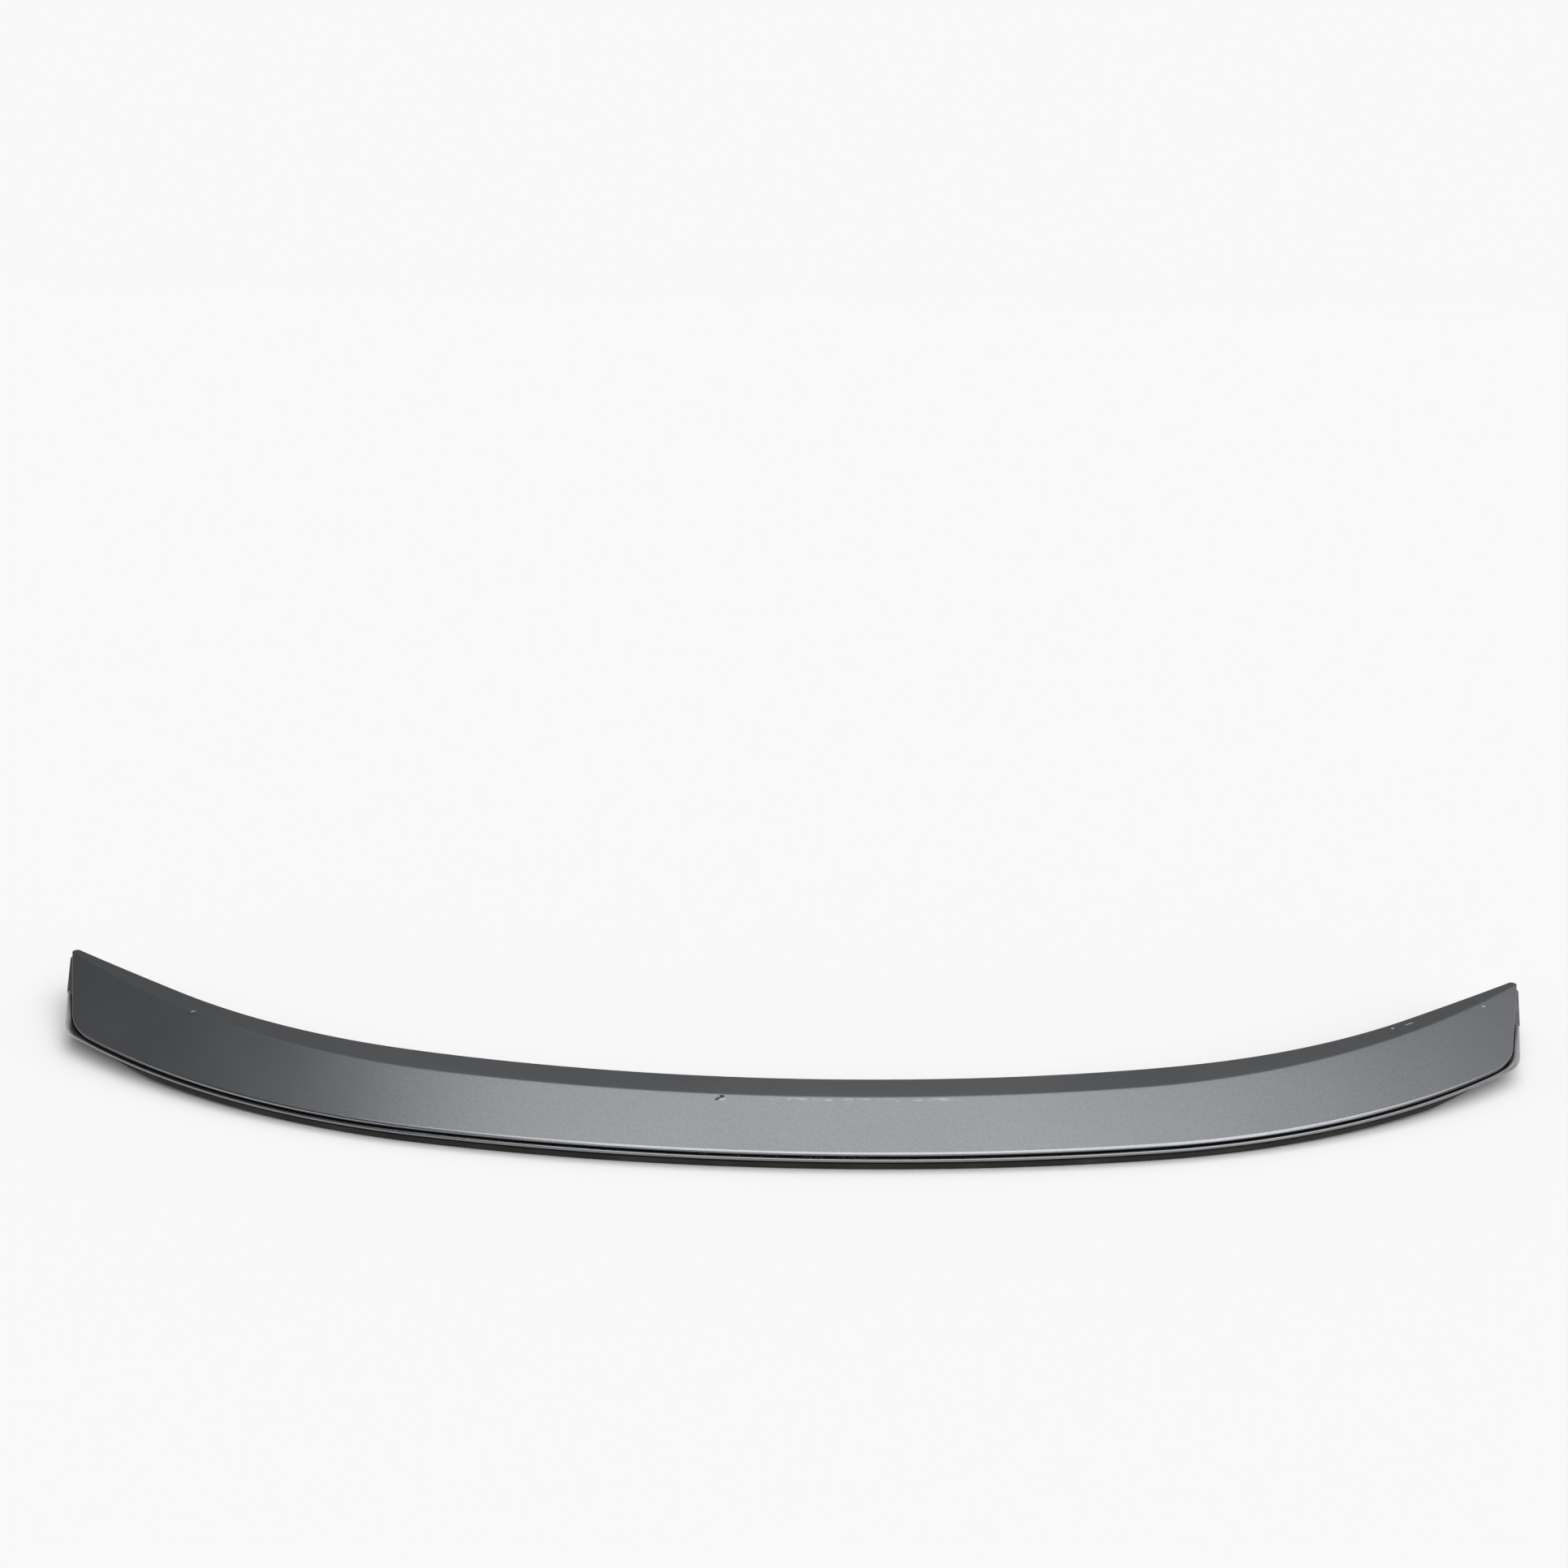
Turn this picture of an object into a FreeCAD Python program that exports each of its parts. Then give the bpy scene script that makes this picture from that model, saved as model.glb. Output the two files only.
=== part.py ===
"""Trunk lid lip spoiler: a painted crescent skin on a black base, with an edge strip, seal, tape and studs.

Frame: X runs from end to end, Y from the trailing edge to the pointed ends, Z up. The origin is the middle of
the bounding box's bottom. The spoiler lies as it rests: nose-up on its rear seal and the tips of its studs.
"""
import FreeCAD
import Part
import math
import os
import Sketcher
from FreeCAD import Placement, Rotation, Vector

# Lengths in millimetres; those that start with an equals sign follow the overall box
SIZES = {
    # Overall box
    "overall_width": 1160.0,
    "overall_depth": 251.0,
    # Heights and slopes of the two upper faces
    "edge_height": 12.2,
    "nose_up_deg": 8.5,
    "crown_radius": "=overall_width * 9.353",
    "main_chord": 59.0,
    "band_fall_deg": 2.3,
    "band_mid_radius": "=overall_width * 17.67",
    "band_join": "=overall_width * 0.2155",
    "band_rise": 22.5,
    # Trailing edge in plan
    "rear_mid_radius": "=overall_width ^ 2 / overall_depth * 0.2826",
    "rear_join": "=overall_width * 0.2155",
    "rear_end_radius": "=overall_width ^ 2 / overall_depth * 0.1276",
    "corner_radius": 70.0,
    "edge_round": 1.5,
    # Ends in plan
    "side_flare_deg": 23.6,
    "tip_face": 4.7,
    # Leading edge in plan
    "chord": 86.35,
    "lead_mid_radius": "=overall_width ^ 2 / overall_depth * 0.24764",
    "lead_join": "=overall_width * 0.25",
    "lead_end_slope": "=overall_depth / overall_width * 2.6638",
    "tip_round": 3.0,
    # Walls
    "skin_wall": 2.0,
    "cavity": 3.2,
    "floor_wall": 2.4,
    "rim_wall": 2.4,
    "rim_inset": 3.5,
    "lead_inset": 6.0,
    "skirt_drop": 10.2,
    # Edge strip and the bead ahead of it
    "shadow_gap": 1.4,
    "strip_wall": 1.8,
    "strip_ledge": 1.8,
    "strip_tip_ledge": 1.5,
    "strip_side_turn_deg": 2.8,
    "strip_corner_radius": 52.0,
    "notch_from_tip": 58.6,
    "notch_gap": 2.4,
    # Rear seal
    "seal_inset": 0.4,
    "seal_end": "=overall_depth * 0.54",
    # Gussets
    "gusset_pitch": "=overall_width * 0.05",
    "gusset_wall": 1.6,
    "gusset_reach": 15.0,
    # Studs, washers and screws
    "seat_height": 10.4,
    "boss_floor": 2.6,
    "fastener_inset": 43.0,
    "inner_stud": "=overall_width / 8",
    "outer_stud": "=overall_width * 3 / 8",
    "inner_screw": "=overall_width / 4",
    "outer_screw": "=overall_width * 0.431",
    "stud_radius": 3.0,
    "stud_neck_radius": 4.0,
    "stud_clearance": 0.2,
    "stud_head_radius": 7.0,
    "stud_head_wall": 1.4,
    "stud_boss_radius": 10.5,
    "washer_radius": 9.0,
    "washer_wall": 2.5,
    "screw_radius": 1.75,
    "screw_length": 6.2,
    "screw_grip": 8.6,
    "screw_head_radius": 4.2,
    "screw_head_wall": 2.3,
    "screw_clearance": 0.3,
    "screw_boss_radius": 6.5,
    "skin_boss_radius": 3.6,
    # Foam tape
    "tape_wall": 1.2,
    "tape_width": 11.0,
    "tape_margin": 2.5,
    "tape_mid_half": "=overall_width * 0.13",
    "tape_end_from": "=overall_width * 0.17",
    "tape_end_to": "=overall_width * 0.37",
    # Cutting blocks reach this far past the part
    "reach": 30.0,
}
GUSSET_SPAN = 8
# An edge this close to a sketched rim, or to the main face, lies on it
ON_RIM = 0.05
ON_FACE = 0.2

ORIGIN = (-1, 1)
START, END, CENTRE = range(1, 4)

doc = FreeCAD.newDocument("trunk_spoiler")
sheet = doc.addObject("Spreadsheet::Sheet", "sizes")
for row, (alias, value) in enumerate(SIZES.items(), start=1):
    sheet.set(f"A{row}", alias)
    sheet.set(f"B{row}", str(value))
    sheet.setAlias(f"B{row}", alias)
doc.recompute()

# Places that several pieces share, as expressions of the sheet
HALF_WIDTH = "sizes.overall_width / 2"
TIP_Y = "sizes.overall_depth / 2"
REAR_Y = "(-sizes.overall_depth / 2 + sizes.strip_ledge)"
FLOOR_TOP = "(sizes.skin_wall + sizes.cavity)"
FLOOR_BOTTOM = f"({FLOOR_TOP} + sizes.floor_wall)"
TAPE_BOTTOM = f"({FLOOR_BOTTOM} + sizes.tape_wall)"
STRIP_TOP = "(sizes.skin_wall + sizes.shadow_gap)"
STRIP_BOTTOM = f"({STRIP_TOP} + sizes.strip_wall)"
END_FACE_Y = f"({TIP_Y} - sizes.tip_face)"
NOTCH_Y = f"({TIP_Y} - sizes.notch_from_tip)"
LEAD_Y = f"({REAR_Y} + sizes.chord)"
FRONT_Y = f"({TIP_Y} + sizes.reach)"
BLOCK_HALF = f"({HALF_WIDTH} + sizes.reach)"
BLOCK_DEPTH = "(sizes.edge_height + 2 * sizes.reach)"
BLOCK_RUN = "(sizes.overall_depth + 2 * sizes.reach)"


def number(expression):
    """The value of an expression of the sheet."""
    result = sheet.evalExpression(expression)
    return float(getattr(result, "Value", result))


def bind(item, **expressions):
    """Ties properties to the sheet; a double underscore stands for a dot."""
    for name, expression in expressions.items():
        item.setExpression(name.replace("__", "."), expression)
    return item


class Drawing:
    """A sketch whose dimensions are expressions of the sheet."""

    def __init__(self, name):
        self.sketch = doc.addObject("Sketcher::SketchObject", name)

    def arc(self, centre, start, end):
        """An arc run anticlockwise from start to end about centre."""
        circle = Part.Circle(centre, Vector(0, 0, 1), (start - centre).Length)
        span = [math.atan2(point.y - centre.y, point.x - centre.x) for point in (start, end)]
        return self.sketch.addGeometry(Part.ArcOfCircle(circle, *span))

    def line(self, start, end):
        return self.sketch.addGeometry(Part.LineSegment(start, end))

    def rule(self, kind, *where):
        self.sketch.addConstraint(Sketcher.Constraint(kind, *where))

    def size(self, kind, *where, to):
        """A dimension that follows the expression named by to."""
        value = number(to)
        start = math.radians(value) if kind == "Angle" else value
        index = self.sketch.addConstraint(Sketcher.Constraint(kind, *where, start))
        name = f"size_{index}"
        self.sketch.renameConstraint(index, name)
        self.sketch.setExpression(f"Constraints.{name}", f"({to}) * 1 deg" if kind == "Angle" else to)

    def place(self, item, point, x=None, y=None):
        """Sets where a point lies, from the sketch's own origin."""
        if x is not None:
            self.size("DistanceX", *ORIGIN, item, point, to=x)
        if y is not None:
            self.size("DistanceY", *ORIGIN, item, point, to=y)


def extrude(sketch, forward, backward):
    """A solid from a closed sketch, both ways along its normal."""
    solid = doc.addObject("Part::Extrusion", f"{sketch.Name}_solid")
    solid.Base = sketch
    solid.DirMode = "Normal"
    solid.Solid = True
    return bind(solid, LengthFwd=forward, LengthRev=backward)


def common(name, *shapes):
    """What all the shapes share."""
    item = doc.addObject("Part::MultiCommon", name)
    item.Shapes = list(shapes)
    return item


def fuse(name, *shapes):
    """All the shapes as one, without seams between faces that run on."""
    item = doc.addObject("Part::MultiFuse", name)
    item.Shapes = list(shapes)
    item.Refine = True
    return item


def cut(name, base, *tools):
    """The base with each tool taken away."""
    for index, tool in enumerate(tools, start=1):
        item = doc.addObject("Part::Cut", f"{name}_{index}" if index < len(tools) else name)
        item.Base = base
        item.Tool = tool
        base = item
    return base


def group(name, shapes):
    """Separate solids in one object."""
    item = doc.addObject("Part::Compound", name)
    item.Links = list(shapes)
    return item


# Plan of the trailing edge and the ends

def left(point):
    """The point's mirror image at the left end."""
    return Vector(-point.x, point.y, 0)


def rear_join_turn():
    """How far the trailing edge has turned where its middle arc ends."""
    return math.asin(number("sizes.rear_join / sizes.rear_mid_radius"))


def rear_centres():
    """Centres of the trailing edge's middle arc and of its right end arc."""
    turn = rear_join_turn()
    middle = Vector(0, number(f"{REAR_Y} + sizes.rear_mid_radius"), 0)
    step = number("sizes.rear_mid_radius - sizes.rear_end_radius")
    return middle, middle + Vector(math.sin(turn), -math.cos(turn), 0) * step


def rear_edge(x):
    """The trailing edge of the skin at x: its y there and the unit normal towards the inside."""
    centre, end_centre = rear_centres()
    radius = number("sizes.rear_mid_radius")
    if abs(x) > number("sizes.rear_join"):
        centre = end_centre
        radius = number("sizes.rear_end_radius")
    across = abs(x) - centre.x
    y = centre.y - math.sqrt(radius ** 2 - across ** 2)
    inward = Vector(-math.copysign(across, x), centre.y - y, 0)
    return y, inward.normalize()


def rim_plan(name, rear="0", side="0", flare="sizes.side_flare_deg", corner="sizes.corner_radius"):
    """The region inside the trailing edge and both ends, run on past the tips, with its edges moved outwards.

    Args:
        name: the sketch's name.
        rear: how far the trailing edge is moved out.
        side: how far each end is moved out, measured at the tip.
        flare: the angle by which the ends spread towards the tips.
        corner: radius of the rear corners.
    """
    turn = rear_join_turn()
    mid, end = rear_centres()
    mid_radius = number(f"sizes.rear_mid_radius + ({rear})")
    end_radius = number(f"sizes.rear_end_radius + ({rear})")
    corner_radius = number(corner)
    lean = math.radians(number(flare))
    along = Vector(math.sin(lean), math.cos(lean), 0)
    out = Vector(math.cos(lean), -math.sin(lean), 0)
    tip = Vector(number(HALF_WIDTH), number(END_FACE_Y), 0) + out * number(side)
    offset = tip - out * corner_radius - end
    middle_step = offset.dot(along)
    spread = middle_step ** 2 - offset.Length ** 2 + (end_radius - corner_radius) ** 2
    bend = end + offset - along * (middle_step + math.sqrt(spread))
    join = mid + Vector(math.sin(turn), -math.cos(turn), 0) * mid_radius
    bend_start = end + (bend - end).normalize() * end_radius
    bend_end = bend + out * corner_radius
    front_end = tip + along * ((number(FRONT_Y) - tip.y) / along.y)

    plan = Drawing(name)
    middle_arc = plan.arc(mid, left(join), join)
    right_arc = plan.arc(end, join, bend_start)
    right_bend = plan.arc(bend, bend_start, bend_end)
    right_side = plan.line(bend_end, front_end)
    front_line = plan.line(front_end, left(front_end))
    left_side = plan.line(left(bend_end), left(front_end))
    left_bend = plan.arc(left(bend), left(bend_end), left(bend_start))
    left_arc = plan.arc(left(end), left(bend_start), left(join))
    plan.rule("Tangent", middle_arc, END, right_arc, START)
    plan.rule("Tangent", right_arc, END, right_bend, START)
    plan.rule("Tangent", right_bend, END, right_side, START)
    plan.rule("Coincident", right_side, END, front_line, START)
    plan.rule("Coincident", front_line, END, left_side, END)
    plan.rule("Tangent", left_side, START, left_bend, START)
    plan.rule("Tangent", left_bend, END, left_arc, START)
    plan.rule("Tangent", left_arc, END, middle_arc, START)
    plan.rule("Horizontal", front_line)
    plan.place(middle_arc, CENTRE, x="0", y=f"{REAR_Y} + sizes.rear_mid_radius")
    plan.size("Radius", middle_arc, to=f"sizes.rear_mid_radius + ({rear})")
    join_x = f"sizes.rear_join * (1 + ({rear}) / sizes.rear_mid_radius)"
    front_x = (f"{HALF_WIDTH} + ({side}) * cos(({flare}) * 1 deg) + ({FRONT_Y} - {END_FACE_Y}"
               f" + ({side}) * sin(({flare}) * 1 deg)) * tan(({flare}) * 1 deg)")
    for sign, arc, bend_arc, line, arc_end in (
            ("", right_arc, right_bend, right_side, END), ("-", left_arc, left_bend, left_side, START)):
        plan.place(middle_arc, arc_end, x=f"{sign}({join_x})")
        plan.size("Radius", arc, to=f"sizes.rear_end_radius + ({rear})")
        plan.size("Radius", bend_arc, to=corner)
        plan.place(line, END, x=f"{sign}({front_x})")
    plan.size("Angle", right_side, to=f"90 - ({flare})")
    plan.size("Angle", left_side, to=f"90 + ({flare})")
    plan.place(front_line, START, y=FRONT_Y)
    return plan.sketch


def hollow_curve(name, radius, join, half, rise, depth):
    """The region under a shallow curve that rises to both sides: a middle arc and two tighter end arcs.

    Args:
        name: the sketch's name.
        radius: radius of the middle arc, whose lowest point is the sketch's origin.
        join: half the width of the middle arc.
        half: half the width of the region.
        rise: how far the curve has risen at the region's sides.
        depth: how far the region goes down.
    """
    turn = math.asin(number(f"({join}) / ({radius})"))
    centre = Vector(0, number(radius), 0)
    inward = Vector(-math.sin(turn), math.cos(turn), 0)
    meet = centre - inward * number(radius)
    side = Vector(number(half), number(rise), 0)
    chord = side - meet
    end_radius = chord.Length ** 2 / (2 * chord.dot(inward))
    end_centre = meet + inward * end_radius
    foot = Vector(side.x, -number(depth), 0)

    plan = Drawing(name)
    middle_arc = plan.arc(centre, left(meet), meet)
    right_arc = plan.arc(end_centre, meet, side)
    left_arc = plan.arc(left(end_centre), left(side), left(meet))
    right_line = plan.line(side, foot)
    foot_line = plan.line(foot, left(foot))
    left_line = plan.line(left(foot), left(side))
    plan.rule("Tangent", middle_arc, END, right_arc, START)
    plan.rule("Tangent", left_arc, END, middle_arc, START)
    plan.rule("Coincident", right_arc, END, right_line, START)
    plan.rule("Coincident", right_line, END, foot_line, START)
    plan.rule("Coincident", foot_line, END, left_line, START)
    plan.rule("Coincident", left_line, END, left_arc, START)
    plan.rule("Vertical", right_line)
    plan.rule("Vertical", left_line)
    plan.rule("Horizontal", foot_line)
    plan.place(middle_arc, CENTRE, x="0", y=radius)
    plan.size("Radius", middle_arc, to=radius)
    plan.place(middle_arc, START, x=f"-({join})")
    plan.place(middle_arc, END, x=join)
    plan.place(right_arc, END, x=half, y=rise)
    plan.place(left_arc, START, x=f"-({half})", y=rise)
    plan.place(foot_line, START, y=f"-({depth})")
    return plan.sketch


def lead_plan(name):
    """The region behind the leading edge: a middle arc, two end arcs and straight runs to the rounded tips.

    The sketch's origin is the middle of the leading edge.
    """
    radius = number("sizes.lead_mid_radius")
    turn = math.asin(number("sizes.lead_join") / radius)
    lean = math.atan(number("sizes.lead_end_slope"))
    along = Vector(math.cos(turn), math.sin(turn), 0)
    inward = Vector(-math.sin(turn), math.cos(turn), 0)
    run = Vector(math.cos(lean), math.sin(lean), 0)
    run_normal = Vector(-math.sin(lean), math.cos(lean), 0)
    centre = Vector(0, radius, 0)
    meet = centre - inward * radius
    tip_radius = number("sizes.tip_round")
    tip_centre_x = f"{HALF_WIDTH} - sizes.tip_round"
    tip_centre_y = f"{TIP_Y} - sizes.tip_round - {LEAD_Y}"
    tip_centre = Vector(number(tip_centre_x), number(tip_centre_y), 0)
    run_end = tip_centre + run_normal * tip_radius
    tangent = (run_end - meet).dot(run_normal) / along.dot(run_normal)
    run_start = meet + (along + run) * tangent
    end_centre = meet + inward * (tangent / math.tan((lean - turn) / 2))
    face_top = tip_centre + Vector(tip_radius, 0, 0)
    foot = Vector(face_top.x, -number(BLOCK_RUN), 0)

    plan = Drawing(name)
    middle_arc = plan.arc(centre, left(meet), meet)
    right_arc = plan.arc(end_centre, meet, run_start)
    right_run = plan.line(run_start, run_end)
    right_tip = plan.arc(tip_centre, face_top, run_end)
    right_face = plan.line(face_top, foot)
    foot_line = plan.line(foot, left(foot))
    left_face = plan.line(left(face_top), left(foot))
    left_tip = plan.arc(left(tip_centre), left(run_end), left(face_top))
    left_run = plan.line(left(run_start), left(run_end))
    left_arc = plan.arc(left(end_centre), left(run_start), left(meet))
    plan.rule("Tangent", middle_arc, END, right_arc, START)
    plan.rule("Tangent", right_arc, END, right_run, START)
    plan.rule("Tangent", right_run, END, right_tip, END)
    plan.rule("Tangent", right_tip, START, right_face, START)
    plan.rule("Coincident", right_face, END, foot_line, START)
    plan.rule("Coincident", foot_line, END, left_face, END)
    plan.rule("Tangent", left_face, START, left_tip, END)
    plan.rule("Tangent", left_tip, START, left_run, END)
    plan.rule("Tangent", left_run, START, left_arc, START)
    plan.rule("Tangent", left_arc, END, middle_arc, START)
    plan.rule("Horizontal", foot_line)
    plan.place(middle_arc, CENTRE, x="0", y="sizes.lead_mid_radius")
    plan.size("Radius", middle_arc, to="sizes.lead_mid_radius")
    lean_deg = "atan(sizes.lead_end_slope) / 1 deg"
    for sign, arc_end, tip, straight, angle in (
            ("", END, right_tip, right_run, lean_deg), ("-", START, left_tip, left_run, f"180 - {lean_deg}")):
        plan.place(middle_arc, arc_end, x=f"{sign}sizes.lead_join")
        plan.place(tip, CENTRE, x=f"{sign}({tip_centre_x})", y=tip_centre_y)
        plan.size("Radius", tip, to="sizes.tip_round")
        plan.size("Angle", straight, to=angle)
    plan.place(foot_line, START, y=f"-{BLOCK_RUN}")
    return plan.sketch


def arch(name, radius, half, depth):
    """The region under one arc whose highest point is the sketch's origin."""
    centre = Vector(0, -number(radius), 0)
    side_x = number(half)
    side = Vector(side_x, centre.y + math.sqrt(number(radius) ** 2 - side_x ** 2), 0)
    foot = Vector(side_x, -number(depth), 0)

    plan = Drawing(name)
    top = plan.arc(centre, side, left(side))
    left_line = plan.line(left(side), left(foot))
    foot_line = plan.line(left(foot), foot)
    right_line = plan.line(foot, side)
    plan.rule("Coincident", top, END, left_line, START)
    plan.rule("Coincident", left_line, END, foot_line, START)
    plan.rule("Coincident", foot_line, END, right_line, START)
    plan.rule("Coincident", right_line, END, top, START)
    plan.rule("Vertical", left_line)
    plan.rule("Vertical", right_line)
    plan.rule("Horizontal", foot_line)
    plan.place(top, CENTRE, x="0", y=f"-({radius})")
    plan.size("Radius", top, to=radius)
    plan.place(top, START, x=half)
    plan.place(top, END, x=f"-({half})")
    plan.place(foot_line, START, y=f"-({depth})")
    return plan.sketch


# Blocks that the pieces are cut from

def upright(sketch):
    """A tall solid over a plan sketch."""
    return extrude(sketch, "4 * sizes.reach", "sizes.reach")


def rim(name, **moves):
    """A tall solid inside the trailing edge and both ends."""
    return upright(rim_plan(name, **moves))


def behind_lead(name, inset="0"):
    """A tall solid behind the leading edge, moved back by the inset."""
    return upright(bind(lead_plan(name), Placement__Base__y=f"{LEAD_Y} - ({inset})"))


def tilted(sketch, y, z, angle):
    """A solid under a curve drawn across the part, run fore and aft at a slope."""
    sketch.Placement = Placement(Vector(0, 0, 0), Rotation(Vector(1, 0, 0), 90))
    bind(sketch, Placement__Base__y=y, Placement__Base__z=z, Placement__Rotation__Angle=f"90 + ({angle})")
    return extrude(sketch, BLOCK_RUN, BLOCK_RUN)


def under_main(name, drop):
    """Everything lower than the main upper face, itself lowered by drop."""
    curve = arch(name, "sizes.crown_radius", BLOCK_HALF, BLOCK_DEPTH)
    return tilted(curve, REAR_Y, f"sizes.edge_height - {drop}", "sizes.nose_up_deg")


def under_band(name, drop):
    """Everything lower than the leading band, itself lowered by drop."""
    curve = hollow_curve(
        name, "sizes.band_mid_radius", "sizes.band_join", BLOCK_HALF, "sizes.band_rise", BLOCK_DEPTH)
    crease_height = "sizes.edge_height + sizes.main_chord * tan(sizes.nose_up_deg * 1 deg)"
    return tilted(curve, f"{REAR_Y} + sizes.main_chord", f"{crease_height} - {drop}", "-sizes.band_fall_deg")


def main_face(x, y):
    """Height of the main upper face over a point of the plan."""
    radius = number("sizes.crown_radius")
    slope = math.tan(math.radians(number("sizes.nose_up_deg")))
    crown_fall = radius - math.sqrt(radius ** 2 - x * x)
    return number("sizes.edge_height") + slope * (y - number(REAR_Y)) - crown_fall


def rim_edges(shape, sketch):
    """Numbers of the shape's edges where its rim, drawn by the sketch, meets the main face."""
    rim_top = number(FRONT_Y) - ON_RIM
    rim_curves = [curve.toShape() for curve in sketch.Geometry
                  if min(curve.StartPoint.y, curve.EndPoint.y) < rim_top]
    found = []
    for index, edge in enumerate(shape.Edges, start=1):
        middle = edge.valueAt((edge.FirstParameter + edge.LastParameter) / 2)
        level = abs(main_face(middle.x, middle.y) - middle.z) < ON_FACE
        foot = Part.Vertex(Vector(middle.x, middle.y, 0))
        if level and min(foot.distToShape(curve)[0] for curve in rim_curves) < ON_RIM:
            found.append(index)
    return found


def rounded_rim(name, base, sketch, radius):
    """The base with the upper edge of its rim rounded."""
    doc.recompute()
    item = doc.addObject("Part::Fillet", name)
    item.Base = base
    item.Edges = [(index, number(radius), number(radius)) for index in rim_edges(base.Shape, sketch)]
    return item


def box(name, low, high):
    """A box between two corners, each given as three expressions."""
    item = doc.addObject("Part::Box", name)
    length, width, height = (f"({top}) - ({bottom})" for bottom, top in zip(low, high))
    bind(item, Length=length, Width=width, Height=height)
    return bind(item, Placement__Base__x=low[0], Placement__Base__y=low[1], Placement__Base__z=low[2])


def room_behind(name, half, front):
    """A box that holds everything behind the front within half the width given."""
    return box(name, (f"-({half})", f"-{FRONT_Y}", "-sizes.reach"), (half, front, ABOVE))


def cylinder(name, place, radius, bottom, top):
    """An upright cylinder at a point of the plan."""
    item = doc.addObject("Part::Cylinder", name)
    item.Placement = Placement(place, Rotation())
    bind(item, Radius=radius, Height=f"({top}) - ({bottom})")
    return bind(item, Placement__Base__z=bottom)


def six_sided(name, place, radius, bottom, top):
    """An upright six-sided bar at a point of the plan; the radius goes to its corners."""
    item = doc.addObject("Part::Prism", name)
    item.Polygon = 6
    item.Placement = Placement(place, Rotation())
    bind(item, Circumradius=radius, Height=f"({top}) - ({bottom})")
    return bind(item, Placement__Base__z=bottom)


# Fastener stations, on a line inside the trailing edge

def station(x):
    """The point inside the trailing edge where a fastener at x stands."""
    return Vector(x, rear_edge(x)[0] + number("sizes.fastener_inset"), 0)


def stations(kind):
    """The two inner and the two outer stations of one kind of fastener."""
    distances = [number(f"sizes.{which}_{kind}") for which in ("inner", "outer")]
    return [station(sign * distance) for distance in distances for sign in (-1, 1)]


def screw_shank(name, place, seat):
    """The room that a screw's shank takes above its seat."""
    return cylinder(name, place, "sizes.screw_radius", seat, f"{seat} + sizes.screw_length")


def screw_seat(place):
    """Height of the face that a screw's head bears on, a fixed grip below the main face."""
    return f"({main_face(place.x, place.y)} - sizes.screw_grip)"


STUDS = stations("stud")
SCREWS = stations("screw")
BOSS_TOP = "(sizes.seat_height + sizes.boss_floor)"
WASHER_BOTTOM = "(sizes.seat_height - sizes.washer_wall)"
ABOVE = "(4 * sizes.reach)"

# Shared cutting blocks
below_skin = common("below_skin", under_main("skin_main_bottom", "sizes.skin_wall"),
                    under_band("skin_band_bottom", "sizes.skin_wall"))
floor_main_top = under_main("floor_main_top", FLOOR_TOP)
below_floor_top = common("below_floor_top", floor_main_top, under_band("floor_band_top", FLOOR_TOP))
below_floor = common("below_floor", under_main("floor_main_bottom", FLOOR_BOTTOM),
                     under_band("floor_band_bottom", FLOOR_BOTTOM))
below_strip = under_main("strip_bottom", STRIP_BOTTOM)
below_skirt = under_main("skirt_bottom", "sizes.skirt_drop")
base_rim = rim("base_rim", rear="-sizes.rim_inset", side="-sizes.rim_inset",
               corner="sizes.corner_radius - sizes.rim_inset")
WALL_INSET = "(sizes.rim_inset + sizes.rim_wall)"
base_inner_rim = rim("base_inner_rim", rear=f"-{WALL_INSET}", side=f"-{WALL_INSET}",
                     corner=f"sizes.corner_radius - {WALL_INSET}")
base_lead = behind_lead("base_lead", "sizes.lead_inset")


def build_upper_skin():
    """The painted skin: rounded along the rear and the ends, creased along the front, with bosses below."""
    outline = rim_plan("skin_rim")
    solid = common("skin_block", upright(outline), under_main("skin_main_top", "0"))
    rounded = rounded_rim("skin_rounded", solid, outline, "sizes.edge_round")
    trimmed = common("skin_trimmed", rounded, under_band("skin_band_top", "0"), behind_lead("skin_lead"))
    panel = cut("skin_panel", trimmed, below_skin)
    posts = []
    pilots = []
    for index, place in enumerate(SCREWS, start=1):
        seat = screw_seat(place)
        root = f"{main_face(place.x, place.y)} - sizes.skin_wall / 2"
        posts.append(cylinder(f"skin_post_{index}", place, "sizes.skin_boss_radius", seat, root))
        pilots.append(screw_shank(f"skin_pilot_{index}", place, seat))
    bosses = cut("skin_bosses", group("skin_posts", posts), below_floor_top)
    return cut("upper_skin", fuse("skin_with_bosses", panel, bosses), group("skin_pilots", pilots))


def build_ledge():
    """The ledge that stands out under the skin, from which the strip and the beads ahead of it are cut."""
    flare = "sizes.side_flare_deg - sizes.strip_side_turn_deg"
    outline = rim("ledge_rim", rear="sizes.strip_ledge", side="sizes.strip_tip_ledge", flare=flare,
                  corner="sizes.strip_corner_radius")
    room = room_behind("ledge_room", HALF_WIDTH, END_FACE_Y)
    block = common("ledge_block", outline, under_main("ledge_main_top", STRIP_TOP),
                   under_band("ledge_band_top", STRIP_TOP), room)
    return cut("ledge", block, below_strip, base_rim)


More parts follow.
